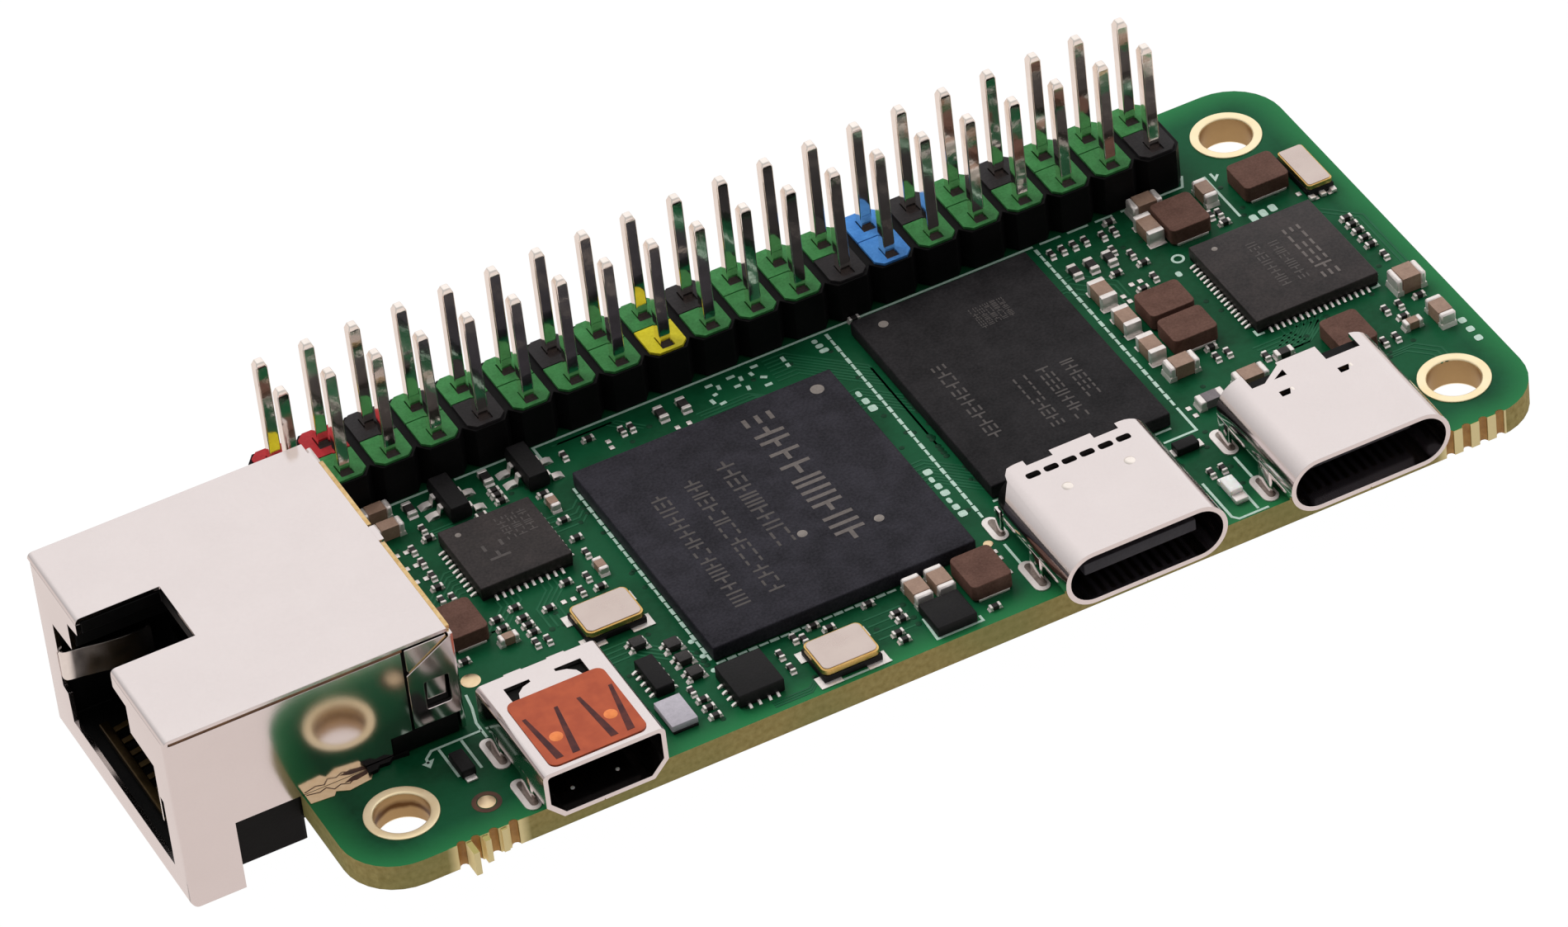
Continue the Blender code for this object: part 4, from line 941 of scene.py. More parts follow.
def make_crystals():
    for name in ("network", "main"):
        base, lid = f"{name}_crystal_base", f"{name}_crystal_lid"
        left, front, low, right, rear, high = measured(base)
        top = measured(lid)[5]
        body = boxes((left, front, low, right, rear, high, 0.06))
        piece(f"{name}_crystal_body", body, "mould_dark", stands_for=(base,))
        rim = plate_inside(base, 0.03, 0.35, high + 0.01, top - 0.06)
        piece(f"{name}_crystal_rim", rim, "crystal_gold", soft=0.05)
        cover = plate_inside(base, 0.13, 0.3, top - 0.08, top)
        piece(f"{name}_crystal_cover", cover, "lid", stands_for=(lid,), soft=0.04, segments=3)
        for x0, x1 in ((left - 0.3, left + 0.9), (right - 0.9, right + 0.3)):
            for y0, y1 in ((front - 0.3, front + 0.6), (rear - 0.6, rear + 0.2)):
                new_box(TERMINALS, x0, y0, 0.008, x1, y1, 0.06, 0.02)
    node = "clock_crystal_small"
    left, front, low, right, rear, high = measured(node)
    split = low + (high - low) * 0.55
    base = boxes((left, front, low, right, rear, split, 0.06))
    piece("clock_crystal_base", base, "mould_dark", stands_for=(node,))
    rim = plate_inside(node, 0.03, 0.2, split + 0.01, high - 0.05)
    piece("clock_crystal_rim", rim, "crystal_gold", soft=0.04)
    cover = plate_inside(node, 0.1, 0.16, high - 0.07, high)
    piece("clock_crystal_cover", cover, "lid", soft=0.03)
    for x in (left + 0.15, (left + right) / 2, right - 0.15):
        new_block(TERMINALS, x, front - 0.1, 0.16, 0.2, 0.008, 0.22, 0.05)


def make_transistors():
    for name in ("left", "right"):
        node = f"transistor_{name}"
        left, front, _, right, rear, high = measured(node)
        left, right = left + 0.5, right - 0.5
        x, y, wide, long = (left + right) / 2, (front + rear) / 2, (right - left) / 2, (rear - front) / 2
        bm = bmesh.new()
        layers = ((0.06, 0.1), (0.0, 0.5), (0.1, high))
        new_loft(bm, [square(x, y, wide - inset, z, long - inset) for inset, z in layers])
        piece(f"transistor_body_{name}", bm, "mould_dark", stands_for=(node,), soft=0.04)
        for edge, side, offsets in ((left, -1, (1.1, 2.0)), (right, 1, (0.45, 1.75))):
            bends = ((-0.1, 0.55), (0.14, 0.55), (0.24, 0.14), (0.55, 0.12))
            line = [(edge + side * out, z) for out, z in bends]
            section = line + [(px, pz - 0.09) for px, pz in line[::-1]]
            for y in (front + offset for offset in offsets):
                new_prism(TERMINALS, section, y - 0.2, y + 0.2, along="y")
                new_fillet(TERMINALS, edge + side * 0.42, y, 0.16, 0.2, side * 0.14, 0.06, 0.2)


# -------------------------------------------------------- small chip parts

TERMINALS = bmesh.new()  # every solder end, pad and lead on the board's top face
DARK_BODIES = bmesh.new()
TAN_BODIES = bmesh.new()
GREY_BODIES = bmesh.new()

# Length, width and height.
RESISTOR, LARGE_RESISTOR, THICK_RESISTOR = (0.6, 0.3, 0.26), (1.0, 0.5, 0.35), (1.5, 0.75, 0.55)
CAPACITOR = (1.0, 0.5, 0.5)

# The middles of parts no longer than 1 mm: those that lie along x, and then those that lie along y.
RESISTORS_ACROSS = (
    (11.95, 17.15), (10.7, 11.5), (13.15, 20.7), (13.35, 13.4), (13.35, 12.65), (14.5, 13.7), (14.5, 12.8),
    (14.5, 12.2), (14.5, 11.6), (15.9, 12.75), (16.1, 20.8), (17.45, 22.15), (17.45, 21.75), (17.45, 21.25),
    (19.4, 20.55), (19.4, 18.25), (19.35, 16.7), (17.45, 14.0), (18.75, 12.8), (23.15, 23.1), (19.25, 2.7),
    (19.25, 2.05), (19.25, 1.35), (26.15, 4.5), (26.75, 3.95), (29.15, 4.45), (30.0, 3.1), (30.05, 2.6),
    (29.4, 1.8), (29.45, 1.2), (34.25, 0.9), (53.05, 23.6), (51.4, 19.8), (52.95, 19.8), (51.95, 18.0),
    (52.55, 12.1), (63.25, 9.9), (61.75, 8.9), (63.25, 17.2), (63.25, 16.6), (63.25, 16.0), (63.25, 15.35),
    (63.25, 14.7), (57.95, 20.3), (38.6, 24.0), (42.2, 5.4),
)
RESISTORS_UPRIGHT = (
    (12.1, 20.3), (12.1, 19.2), (12.1, 18.05), (11.7, 16.15), (12.25, 16.05), (13.2, 21.45), (14.25, 10.8),
    (14.85, 10.7), (19.25, 15.4), (18.5, 13.8), (17.8, 13.0), (21.55, 22.6), (24.85, 22.7), (25.35, 22.7),
    (19.05, 3.5), (23.85, 3.5), (23.85, 2.35), (24.95, 4.2), (25.35, 3.9), (49.35, 22.95), (50.0, 22.95),
    (50.65, 22.95), (51.3, 22.95), (52.25, 22.8), (52.9, 22.8), (52.75, 20.7), (52.85, 18.5), (52.4, 11.3),
    (53.05, 11.3), (54.5, 10.0), (59.95, 7.7), (60.65, 7.7), (61.25, 9.8), (62.05, 9.8), (63.4, 13.6),
    (57.6, 21.2), (58.05, 21.1), (47.85, 3.75), (48.5, 3.75), (52.1, 21.5),
)
LARGE_RESISTORS_ACROSS = ((55.35, 9.7),)
LARGE_RESISTORS_UPRIGHT = (
    (13.25, 23.1), (17.5, 23.2), (27.05, 22.75), (28.3, 22.75), (49.65, 21.0), (50.6, 21.0), (51.65, 21.0),
)
CAPACITORS_ACROSS = ((13.2, 11.7), (61.8, 8.05))
CAPACITORS_UPRIGHT = ((19.45, 19.55), (19.35, 14.0))
FILTERS = ((18.35, 7.95), (19.75, 6.95), (19.75, 5.75), (19.75, 4.55))
# Larger capacitors: left, front, right and rear, height, and whether their ends are at front and rear.
LARGE_CAPACITORS = (
    (49.6, 10.9, 51.3, 11.85, 0.85, False), (52.0, 8.2, 53.75, 9.15, 0.85, False),
    (54.2, 23.0, 55.9, 23.95, 0.85, False), (57.75, 21.85, 58.5, 23.4, 0.8, True),
    (62.35, 10.4, 64.0, 11.6, 1.0, False), (62.9, 7.05, 63.75, 8.75, 0.85, True),
    (10.85, 23.15, 12.4, 23.9, 0.8, False), (10.85, 21.7, 12.4, 22.45, 0.8, False),
    (31.0, 2.8, 31.95, 4.55, 0.8, True), (32.25, 2.8, 33.2, 4.55, 0.8, True),
)
BARE_PADS = (
    (11.3, 20.45), (11.8, 20.45), (11.3, 19.3), (11.8, 19.3), (11.3, 18.15), (11.8, 18.15), (16.75, 12.85),
    (17.25, 12.8), (23.95, 22.45), (23.9, 21.95), (27.35, 21.5), (28.0, 21.5), (51.65, 18.7), (52.15, 18.7),
    (50.85, 18.1), (50.95, 17.6), (62.25, 20.3), (62.85, 19.55), (63.65, 19.55), (59.95, 21.3), (61.7, 21.3),
    (36.2, 4.55), (36.2, 4.0), (36.1, 2.85), (49.35, 8.7), (49.4, 8.05),
)


def new_lead(bm, x, y, away_x, away_y, reach, half, height, foot=0.004):
    """A lead's solder: a wedge that falls away from a chip's side at (x, y), in the direction away."""
    rings = []
    for middle, along, width, z in ((1.0, 1.0, 1.0, foot), (1.0, 1.0, 0.95, 0.05), (0.3, 0.3, 0.8, height)):
        half_x = reach * along if away_x else half * width
        half_y = reach * along if away_y else half * width
        rings.append(square(x + away_x * reach * middle, y + away_y * reach * middle, half_x, z, half_y))
    new_loft(bm, rings)


def new_fillet(bm, x, y, half_x, half_y, grow_x, grow_y, height):
    """A solder wedge: wide where it wets the pad, narrow at its top."""
    foot = square(x + grow_x, y + grow_y, half_x + abs(grow_x), 0.004, half_y + abs(grow_y))
    new_loft(bm, [foot, square(x, y, half_x, height, half_y)])


def small_part(bodies, x, y, size, upright, end=0.24, terminals=TERMINALS):
    """A chip resistor or capacitor, lying along x or, if upright, along y, with metal ends on its pads."""
    length, width, height = size
    half, side, cap = length / 2, width / 2, length * end

    def turned(along, across):
        return (across, along) if upright else (along, across)

    for sign in (-1, 1):
        shift_x, shift_y = turned(sign * (half - cap / 2), 0.0)
        px, py = x + shift_x, y + shift_y
        half_x, half_y = turned(cap / 2, side)
        new_block(terminals, px, py, half_x, half_y, 0.02, height, height * 0.1, 1)
        grow = turned(sign * 0.035, 0.0)
        new_fillet(terminals, px, py, half_x + 0.005, half_y + 0.005, *grow, height * 0.3)
    new_block(bodies, x, y, *turned(half - cap + 0.01, side - 0.012), 0.03, height - 0.012, 0.015, 1)


def make_chip_parts():
    for size, across, upright, bodies in (
        (RESISTOR, RESISTORS_ACROSS, RESISTORS_UPRIGHT, DARK_BODIES),
        (LARGE_RESISTOR, LARGE_RESISTORS_ACROSS, LARGE_RESISTORS_UPRIGHT, DARK_BODIES),
        (CAPACITOR, CAPACITORS_ACROSS, CAPACITORS_UPRIGHT, TAN_BODIES),
    ):
        for x, y in across:
            small_part(bodies, x, y, size, False)
        for x, y in upright:
            small_part(bodies, x, y, size, True)
    for left, front, right, rear, height, upright in LARGE_CAPACITORS:
        x, y = (left + right) / 2, (front + rear) / 2
        size = (rear - front, right - left, height) if upright else (right - left, rear - front, height)
        small_part(TAN_BODIES, x, y, size, upright, 0.2)
    small_part(GREY_BODIES, 50.5, 8.48, THICK_RESISTOR, False)
    for x, y in FILTERS:
        new_block(DARK_BODIES, x, y, 0.36, 0.34, 0.04, 0.42, 0.05)
        for side_x in (-1, 1):
            for side_y in (-1, 1):
                px, py = x + side_x * 0.36, y + side_y * 0.24
                new_block(TERMINALS, px, py, 0.09, 0.1, 0.02, 0.3, 0.03, 1)
                new_fillet(TERMINALS, px, py, 0.09, 0.1, side_x * 0.07, side_y * 0.03, 0.12)
    for x, y in BARE_PADS:
        new_block(TERMINALS, x, y, 0.13, 0.15, 0.004, 0.05, 0.03)
    piece("resistor_bodies", DARK_BODIES, "ceramic_dark")
    piece("capacitor_bodies", TAN_BODIES, "ceramic")
    piece("thick_resistor_body", GREY_BODIES, "ceramic_grey_dark")


def make_named_capacitors():
    for name in ("core", "graphics", "input", "logic"):
        node = f"capacitor_{name}"
        left, front, low, right, rear, high = measured(node)
        bm = boxes((left + 0.015, front + 0.3, low, right - 0.015, rear - 0.3, high - 0.01, 0.04))
        piece(f"ceramic_capacitor_{name}", bm, "ceramic", stands_for=(node,))
        for start, end in ((front, front + 0.34), (rear - 0.34, rear)):
            new_box(TERMINALS, left, start, 0.02, right, end, high, 0.05)
        for start, end in ((front - 0.15, front + 0.3), (rear - 0.3, rear + 0.15)):
            new_box(TERMINALS, left - 0.04, start, 0.004, right + 0.04, end, 0.05, 0.02, 1)


def make_small_named_parts():
    left, front, _, right, rear, high = measured("video_filter")
    body = boxes((left, front, 0.12, right, rear, high, 0.05))
    piece("video_filter_body", body, "ceramic_grey", stands_for=("video_filter",))
    base = boxes((left + 0.03, front - 0.05, 0.01, right - 0.03, rear + 0.05, 0.14, 0.02))
    piece("video_filter_base", base, "mould_dark")
    for name in ("left", "right"):
        node = f"diode_{name}"
        left, front, _, right, rear, high = measured(node)
        body = boxes((left, front, 0.05, right, rear, high, 0.06, 3))
        piece(f"diode_{name}_body", body, "mould_dark", stands_for=(node,))
        if name == "left":
            x0, x1 = left + 0.1, right - 0.1
            ends = (x0, front - 0.35, x1, front + 0.05), (x0, rear - 0.05, x1, rear + 0.3)
        else:
            y0, y1 = front + 0.08, rear - 0.08
            ends = (left - 0.3, y0, left + 0.05, y1), (right - 0.05, y0, right + 0.3, y1)
        for x0, y0, x1, y1 in ends:
            new_box(TERMINALS, x0, y0, 0.01, x1, y1, 0.12, 0.02)
    left, front, _, right, rear, high = measured("status_led")
    lens = boxes((left, front + 0.5, 0.03, right, rear - 0.25, high, 0.08, 3))
    piece("status_led_lens", lens, "led", stands_for=("status_led",))
    for y0, y1 in ((front, front + 0.5), (rear - 0.3, rear)):
        new_box(TERMINALS, left, y0, 0.01, right, y1, 0.3, 0.04)


# ------------------------------------------------- print, copper and solder

INK_WIDTH, INK_LOW, INK_HIGH = 0.14, 0.004, 0.02
INK_PATHS = (
    ((7.3, 24.1), (15.0, 24.1)), ((16.2, 24.1), (19.3, 24.1)), ((20.55, 22.6), (20.55, 24.1), (48.9, 24.1)),
    ((49.3, 24.1), (50.5, 24.1)), ((50.9, 24.1), (52.1, 24.1)), ((52.5, 24.1), (53.5, 24.1)),
    ((54.0, 24.1), (57.6, 24.1), (58.0, 24.9)), ((48.9, 9.1), (48.9, 7.1), (47.05, 7.1)),
    ((37.9, 7.9), (47.9, 7.9)), ((36.85, 2.8), (36.85, 4.8)), ((24.6, 0.35), (28.3, 0.35)),
    ((55.4, 11.75), (55.0, 11.75), (55.0, 12.15)), ((61.6, 11.75), (62.0, 11.75), (62.0, 12.15)),
    ((30.95, 2.15), (30.85, 0.45), (33.35, 0.45), (33.35, 0.85)), ((6.95, 4.3), (6.95, 6.6)),
    ((8.15, 4.3), (8.15, 6.6)), ((9.3, 6.7), (6.6, 6.7), (6.15, 6.3), (6.1, 5.95)),
    ((9.3, 6.1), (9.3, 7.3), (9.6, 8.4), (9.75, 9.4)), ((48.55, 3.2), (48.55, 0.3)),
    ((47.15, 3.4), (47.15, 0.45), (47.4, 0.14), (49.05, 0.14)), ((49.45, 2.5), (49.45, 4.3)),
    ((58.9, 20.4), (58.9, 24.2)),
    ((59.3, 24.25), (59.3, 23.7), (59.6, 24.0)),
)
BEADED_PATHS = (
    ((48.9, 9.3), (48.9, 23.9)), ((36.9, 7.1), (36.9, 23.9)), ((20.9, 5.1), (20.9, 20.3)),
    ((21.0, 4.75), (30.9, 4.75)),
)
DASHED_MARKS = (
    ((29.9, 23.5), (30.3, 23.5)), ((30.5, 23.3), (30.45, 22.95)), ((29.95, 22.7), (30.2, 22.75)),
    ((29.7, 22.5), (29.75, 22.1)), ((29.95, 21.9), (30.3, 21.95)), ((31.1, 23.5), (31.55, 23.5)),
    ((31.75, 23.3), (31.7, 22.95)), ((31.15, 22.7), (31.5, 22.7)), ((31.75, 22.45), (31.7, 22.1)),
    ((32.5, 23.6), (32.9, 23.6)), ((32.3, 23.3), (32.35, 23.0)), ((32.6, 22.7), (32.9, 22.5)),
    ((32.5, 21.95), (32.9, 21.95)), ((34.2, 23.5), (34.2, 23.1)), ((34.2, 22.9), (34.2, 22.6)),
)
# Where the real board has words, it has rows of plain blocks: left, front, right, rear, and how many.
INK_BLOCKS = (
    (36.0, 7.7, 36.45, 12.0, 7), (36.0, 17.2, 36.45, 19.2, 3), (36.0, 22.6, 36.5, 23.9, 3),
    (59.2, 19.6, 59.6, 20.4, 1), (59.8, 19.7, 60.2, 20.5, 1), (60.4, 19.8, 60.8, 20.6, 1),
    (63.9, 5.3, 64.3, 5.9, 1), (63.9, 6.1, 64.3, 6.7, 1), (63.9, 6.9, 64.3, 7.5, 1),
    (53.9, 17.9, 54.2, 18.5, 1),
)
GOLD_PADS = ((10.4, 10.2, 0.5), (7.3, 2.0, 0.45), (36.2, 5.25, 0.25))
SHELL_SLOTS = (
    (9.1, 4.8, 2.4), (9.1, 1.4, 2.4), (15.75, 4.8, 2.2), (15.75, 1.4, 2.2), (37.0, 6.0, 1.9),
    (36.95, 1.9, 2.4), (46.0, 6.0, 1.9), (46.0, 1.9, 2.4), (49.55, 5.5, 2.1), (49.5, 1.4, 2.1),
    (58.45, 5.5, 2.1), (58.45, 1.4, 2.1),
)
# Bundles of covered tracks: the path of the first one, how many, and the step from each to the next.
TRACK_BUNDLES = (
    (((33.2, 23.7), (34.4, 23.7), (37.6, 20.5), (37.6, 14.0)), 7, (0.0, -0.3)),
    (((28.6, 21.9), (31.5, 21.9), (33.0, 20.6)), 4, (0.1, -0.24)),
    (((35.6, 12.6), (36.4, 12.6), (38.0, 11.0)), 8, (0.0, -0.3)),
    (((35.6, 19.2), (36.3, 19.2), (38.0, 17.5)), 6, (0.0, -0.3)),
    (((48.1, 20.0), (48.6, 20.0), (50.2, 18.4), (50.2, 17.0)), 5, (0.25, 0.25)),
    (((54.3, 11.0), (56.6, 11.0), (58.2, 12.2)), 5, (0.1, -0.27)),
    (((56.2, 11.6), (56.2, 11.1), (55.0, 9.9), (53.9, 9.9)), 6, (0.38, 0.0)),
    (((14.0, 14.8), (14.0, 14.2), (12.6, 12.8), (11.9, 12.8)), 4, (0.36, 0.0)),
    (((16.4, 14.8), (16.4, 14.1), (15.4, 13.1), (15.4, 11.4)), 4, (0.34, 0.0)),
    (((13.2, 16.2), (12.7, 16.2), (11.0, 14.5)), 6, (0.0, 0.36)),
    (((13.2, 21.2), (16.4, 21.2), (17.0, 20.6)), 3, (0.0, -0.2)),
    (((18.6, 18.9), (20.2, 18.9), (20.7, 19.4)), 4, (0.0, -0.4)),
    (((11.2, 9.6), (13.0, 9.6), (14.4, 8.2), (15.9, 8.2)), 5, (0.05, -0.3)),
    (((16.3, 8.6), (18.0, 8.6), (20.6, 6.0)), 4, (0.0, -0.36)),
    (((22.0, 0.75), (24.0, 0.75), (24.6, 1.3)), 3, (0.0, -0.17)),
    (((28.4, 3.6), (30.6, 3.6)), 4, (0.0, -0.55)),
    (((38.2, 7.6), (46.6, 7.6)), 3, (0.0, -0.28)),
    (((58.6, 6.6), (60.6, 6.6), (61.6, 5.6), (61.6, 4.8)), 3, (0.3, 0.15)),
    (((62.3, 18.6), (63.9, 17.0), (63.9, 12.4)), 2, (0.28, 0.1)),
    (((21.4, 23.7), (24.4, 23.7), (25.6, 22.4)), 3, (0.3, 0.0)),
)


def new_plate(bm, x, y, radius, low, high, segments=20):
    section = [(0.0, low), (radius, low), (radius, high - 0.01), (radius - 0.02, high), (0.0, high)]
    new_turned(bm, x, y, section, segments)


def capsule(x, y, length, width):
    radius = width / 2
    reach = length / 2 - radius
    return arc(x, y + reach, radius, 0, 180, 8) + arc(x, y - reach, radius, 180, 360, 8)


def make_print():
    bm = bmesh.new()
    for path in INK_PATHS:
        new_strip(bm, path, INK_WIDTH, INK_LOW, INK_HIGH)
    for start, end in BEADED_PATHS:
        start, end = Vector(start), Vector(end)
        count = int((end - start).length / 0.55)
        step = (end - start) / count
        for i in range(count):
            bead = [start + step * (i + 0.04), start + step * (i + 0.88)]
            new_strip(bm, bead, INK_WIDTH + 0.05 * (i % 2), INK_LOW, INK_HIGH)
    for left, front, right, rear, count in INK_BLOCKS:
        step = (rear - front) / count
        for i in range(count):
            base = front + i * step
            block = rounded(left, base, right - 0.1 * (i % 3), base + step * 0.72, 0.12, 3)
            new_prism(bm, block, INK_LOW, INK_HIGH)
    for path in DASHED_MARKS:
        new_strip(bm, path, 0.2, INK_LOW, INK_HIGH)
    for y in (6.85, 5.6, 4.4):
        new_plate(bm, 20.7, y, 0.16, INK_LOW, INK_HIGH)
    new_prism(bm, [(5.8, 6.05), (6.5, 6.15), (6.05, 5.6)], INK_LOW, INK_HIGH)
    new_turned(bm, 54.6, 19.2, rectangle(0.22, INK_LOW, 0.36, INK_HIGH), 20, closed=True)
    piece("board_print", bm, "ink")


def make_tracks():
    rng = random.Random(11)
    tracks, vias = bmesh.new(), bmesh.new()
    for path, count, step in TRACK_BUNDLES:
        for i in range(count):
            moved = [(x + step[0] * i, y + step[1] * i) for x, y in path]
            new_strip(tracks, moved, 0.11, 0.002, 0.014)
            if rng.random() < 0.6:
                new_plate(vias, *moved[-1], 0.17, 0.002, 0.018, 14)
    scattered, clear_of_holes = 190, 3.0
    for _ in range(scattered):
        x, y = rng.uniform(9.8, 64.0), rng.uniform(0.8, 23.7)
        if min(math.dist((x, y), hole) for hole in mounting_holes().values()) > clear_of_holes:
            new_plate(vias, x, y, 0.15, 0.002, 0.016, 14)
    piece("covered_tracks", tracks, "trace")
    piece("covered_vias", vias, "via")


def make_pads():
    """Bare gold pads, the shells' soldered slots, and the torn tinned strip beside the jack."""
    gold, dark, hollows = bmesh.new(), bmesh.new(), bmesh.new()
    for x, y, radius in GOLD_PADS:
        new_plate(gold, x, y, radius, 0.004, 0.03, 28)
    new_turned(dark, 7.3, 2.0, rectangle(0.5, 0.002, 0.74, 0.012), 28, closed=True)
    for x, y, length in SHELL_SLOTS:
        new_prism(TERMINALS, capsule(x, y, length, 0.85), 0.004, 0.07)
        new_prism(hollows, capsule(x + 0.08, y, length - 0.5, 0.42), 0.06, 0.1)
    tinned = [(0.1, 6.45), (1.3, 6.35), (1.5, 6.6), (2.1, 6.3), (3.3, 6.45), (3.55, 6.8)]
    new_prism(gold, tinned + [(3.5, 7.18), (0.1, 7.18)], 0.004, 0.05)
    crack = [(0.15, 7.1), (0.8, 6.95), (1.2, 7.08), (1.5, 6.78), (1.9, 6.92), (2.3, 6.74), (2.7, 6.96)]
    new_strip(dark, crack + [(3.5, 7.12)], 0.06, 0.03, 0.055)
    new_prism(dark, [(2.1, 6.9), (2.6, 7.12), (3.5, 7.17), (3.3, 6.9), (2.7, 6.78)], 0.03, 0.06)
    # black lumps on the board, painted as the shadow beside the jack's foot
    shadow_patch = [(3.4, 7.15), (3.3, 6.7), (3.8, 6.75), (4.0, 6.95), (4.5, 6.9), (4.75, 7.1), (5.6, 7.0)]
    piece("jack_foot_shadow", prisms((shadow_patch + [(5.6, 7.18)], 0.01, 0.22)), "black")
    piece("test_pads", gold, "gold")
    piece("dark_solder_gaps", dark, "dark_joint")
    piece("slot_solder_hollows", hollows, "flux")


def make_chip_leads():
    inset = 0.04
    for node, count, pitch, half in (("power_chip", 17, 0.35, 0.07), ("network_chip", 10, 0.4, 0.075)):
        left, front, low, right, rear, _ = measured(node)
        tip, _, foot, _, _, top = measured(f"{node}_leads")
        reach = (left - tip) / 2
        x, y = (left + right) / 2, (front + rear) / 2
        rows = bmesh.new()
        for along in ((i - (count - 1) / 2) * pitch for i in range(count)):
            for px, away in ((left, -1), (right, 1)):
                new_lead(rows, px, y + along, away, 0, reach, half, top, foot)
            for py, away in ((front, -1), (rear, 1)):
                new_lead(rows, x + along, py, 0, away, reach, half, top, foot)
        piece(f"{node}_soldered_leads", rows, "solder", stands_for=(f"{node}_leads",))
        foot_plate = boxes((left + inset, front + inset, 0.01, right - inset, rear - inset, low + 0.02))
        piece(f"{node}_foot", foot_plate, "mould_dark")
    short = 0.13, 0.08, 0.16
    left, _, _, right, _, _ = measured("hdmi_esd_array")
    for y in (6.25, 5.8, 5.3, 4.8, 4.35):
        new_lead(TERMINALS, left, y, -1, 0, *short)
        new_lead(TERMINALS, right, y, 1, 0, *short)
    left, front, *_ = measured("usb_switch_chip")
    for y in (3.1, 2.6, 2.1, 1.6):
        new_lead(TERMINALS, left, y, -1, 0, *short)
    for x in (21.0, 21.5, 22.05, 22.5):
        new_lead(TERMINALS, x, front, 0, -1, *short)


# -------------------------------------------------------------- underside


def turned_under(bm):
    """Mirrors what was built on the top face onto the bottom face."""
    middle = at(0, 0, -BOARD_THICKNESS / 2).z
    for corner in bm.verts:
        corner.co.z = 2 * middle - corner.co.z
    return bm


def paint(node, material, soft=0.0):
    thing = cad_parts[node]
    thing.data.materials.clear()
    thing.data.materials.append(M[material])
    if soft:
        soften(thing, soft)


# Rows of parts: the first one's middle, how many, the step to the next, and whether they lie along y.
UNDER_ROWS = (
    (5.5, 8.0, 3, 0.0, 1.0, False), (10.2, 20.8, 4, 0.8, 0.0, True), (31.2, 7.2, 2, 0.0, 1.0, False),
    (33.6, 7.2, 2, 0.0, 1.0, False), (38.4, 9.8, 3, 0.8, 0.0, True), (38.4, 13.8, 3, 0.8, 0.0, True),
    (41.6, 16.2, 3, 0.0, 1.0, False), (50.4, 15.2, 4, 0.8, 0.0, True), (55.4, 9.6, 2, 0.0, 1.0, False),
    (55.4, 18.0, 2, 0.0, 1.0, False), (24.0, 20.4, 2, 1.0, 0.0, True),
)


def make_underside():
    for node, material, soft in (
        ("microsd_shell", "nickel", 0.06), ("microsd_body", "black", 0.04),
        ("underside_label", "paper", 0.03),
        ("camera_connector", "light_plastic", 0.05), ("camera_connector_latch", "mould_dark", 0.05),
        ("boot_button_case", "nickel", 0.06), ("boot_button_plunger", "light_plastic", 0.08),
    ):
        paint(node, material, soft)
    solder, bodies, ink = bmesh.new(), bmesh.new(), bmesh.new()
    cone = [(0.0, 0.004), (0.8, 0.004), (0.62, 0.12), (0.48, 0.4), (0.44, 0.8), (0.0, 0.8)]
    for x in pin_columns():
        for y in PIN_ROWS:
            new_turned(solder, x, y, cone, 20)
    for x, y, count, step_x, step_y, upright in UNDER_ROWS:
        for i in range(count):
            small_part(bodies, x + i * step_x, y + i * step_y, LARGE_RESISTOR, upright, terminals=solder)
    for x, y, length in SHELL_SLOTS:
        new_prism(solder, capsule(x, y, length * 0.8, 0.8), 0.004, 0.12)
    left, front, _, right, rear, _ = measured("microsd_shell")
    for x in (left - 0.35, right + 0.35):
        for y in (front + 1.2, rear - 1.6):
            new_block(solder, x, y, 0.45, 0.6, 0.004, 0.2, 0.06)
    for i in range(8):
        new_block(solder, left + 2.65 + i * 1.1, rear + 0.55, 0.25, 0.45, 0.004, 0.12, 0.04)
    _, front, _, right, _, _ = measured("camera_connector")
    for i in range(22):
        new_block(solder, right + 0.05, front + 0.95 + i * 0.5, 0.15, 0.12, 0.004, 0.16, 0.03)
    left, front, _, right, rear, _ = measured("boot_button_case")
    for x in (left - 0.35, right + 0.35):
        new_box(solder, x - 0.45, front + 0.4, 0.004, x + 0.45, rear - 0.4, 0.15, 0.05)
    frames = [rectangle(43.2, 11.2, 47.8, 15.4), rectangle(30.4, 6.4, 34.6, 9.0)]
    paths = [((13.2, 1.6), (13.2, 17.4), (28.8, 17.4), (28.8, 1.6)), ((59.4, 8.2), (59.4, 21.8))]
    for path in paths + [corners + corners[:1] for corners in frames]:
        new_strip(ink, path, INK_WIDTH, INK_LOW, INK_HIGH)
    piece("underside_solder", turned_under(solder), "solder")
    piece("underside_resistors", turned_under(bodies), "ceramic_dark")
    piece("underside_print", turned_under(ink), "ink")


# --------------------------------------------------------- camera and light


def make_camera():
    camera = bpy.data.objects.new("camera", bpy.data.cameras.new("camera"))
    bpy.context.scene.collection.objects.link(camera)
    camera.data.lens, camera.data.sensor_width, camera.data.clip_start = 206.21, 36.0, 0.01
    right = Vector((0.88514408, -0.45629093, -0.09120605))
    up = Vector((0.359717, 0.54665922, 0.75615301))
    back = Vector((-0.29516713, -0.70211273, 0.64800778))
    turn = Matrix((right, up, back)).transposed().to_4x4()
    camera.matrix_world = Matrix.Translation((-0.133015, -0.310654, 0.289272)) @ turn
    bpy.context.scene.camera = camera


def make_floor():
    bm = bmesh.new()
    level = Matrix.Translation((0, 0, cad_bounds[0].z))
    bmesh.ops.create_grid(bm, x_segments=4, y_segments=4, size=3.0, matrix=level)
    floor = to_object("studio_floor", bm)
    floor.data.materials.append(M["floor"])
    floor.visible_glossy = False  # metal reflects the studio below the horizon instead of the lit floor


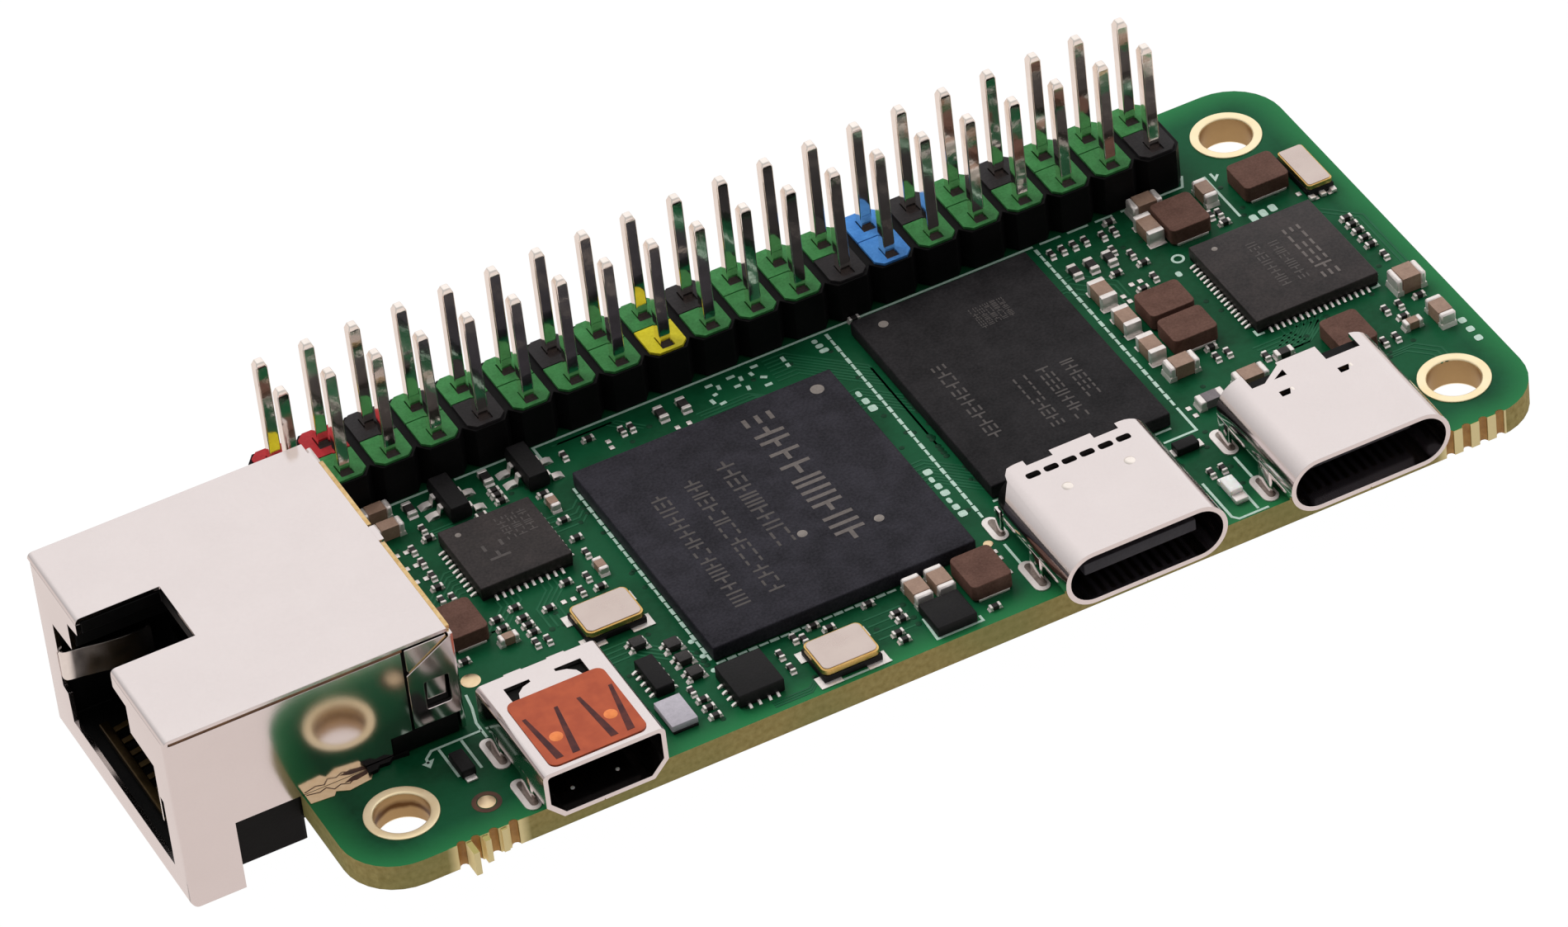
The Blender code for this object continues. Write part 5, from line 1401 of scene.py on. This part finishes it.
def make_world():
    """A pale room. Metal mirrors it brighter than it lights what is matt."""
    world = bpy.data.worlds.new("studio")
    bpy.context.scene.world = world
    world.use_nodes = True
    tree = world.node_tree
    direction = link(tree, "TexCoord").outputs["Generated"]
    height = link(tree, "SeparateXYZ", Vector=direction).outputs["Z"]
    toward = []
    for weights in ((0.6, 0.4, 0.65), (0.25, 0.8, 0.5)):
        aimed = link(tree, "VectorMath", {"operation": "DOT_PRODUCT"}, i0=direction, i1=weights)
        toward.append(aimed.outputs["Value"])
    shine = mapped(tree, toward[0], -0.1, 0.75, 0.58, 1.08)
    shade = mapped(tree, toward[1], -0.3, 0.75, 0.03, 1.0)
    diffuse = link(tree, "LightPath").outputs["Is Diffuse Ray"]
    above = mapped(tree, diffuse, 0.0, 1.0, shine, shade)
    background = tree.nodes["Background"]
    tree.links.new(mapped(tree, height, -0.1, 0.0, 0.86, above), background.inputs["Strength"])
    below = mapped(tree, height, -0.1, 0.0, 1.0, 0.0)
    tint = blended(tree, below, (1.0, 0.985, 0.98), (1.0, 0.91, 0.87))
    tree.links.new(tint, background.inputs["Color"])


def make_lamps():
    for name, place, size, power, colour in (
        ("overhead", (-0.12, 0.3, 0.42), 0.35, 1.35, (1.0, 0.98, 0.97)),
        ("left_side", (-0.45, 0.1, 0.3), 0.3, 0.08, (1.0, 0.97, 0.94)),
    ):
        light = bpy.data.lights.new(name, "AREA")
        light.shape, light.size, light.energy, light.color = "DISK", size, power, colour
        lamp = bpy.data.objects.new(name, light)
        lamp.location = place
        lamp.rotation_mode = "QUATERNION"
        lamp.rotation_quaternion = Vector(place).to_track_quat("Z", "Y")
        lamp.visible_glossy = False
        bpy.context.scene.collection.objects.link(lamp)


bpy.context.scene.view_settings.view_transform = "Standard"
for make in (
    make_camera, make_floor, make_world, make_lamps, make_board, make_panel_stubs, make_header,
    make_jack_shield, make_jack_cover, make_jack_housing, make_jack_contacts, make_ground_springs,
    make_hdmi_port, make_usb_ports, make_shell_legs, make_chips, make_inductors, make_crystals,
    make_transistors, make_named_capacitors, make_small_named_parts, make_chip_parts, make_print,
    make_tracks, make_pads, make_chip_leads, make_underside,
):
    make()
piece("solder_and_terminals", TERMINALS, "solder")
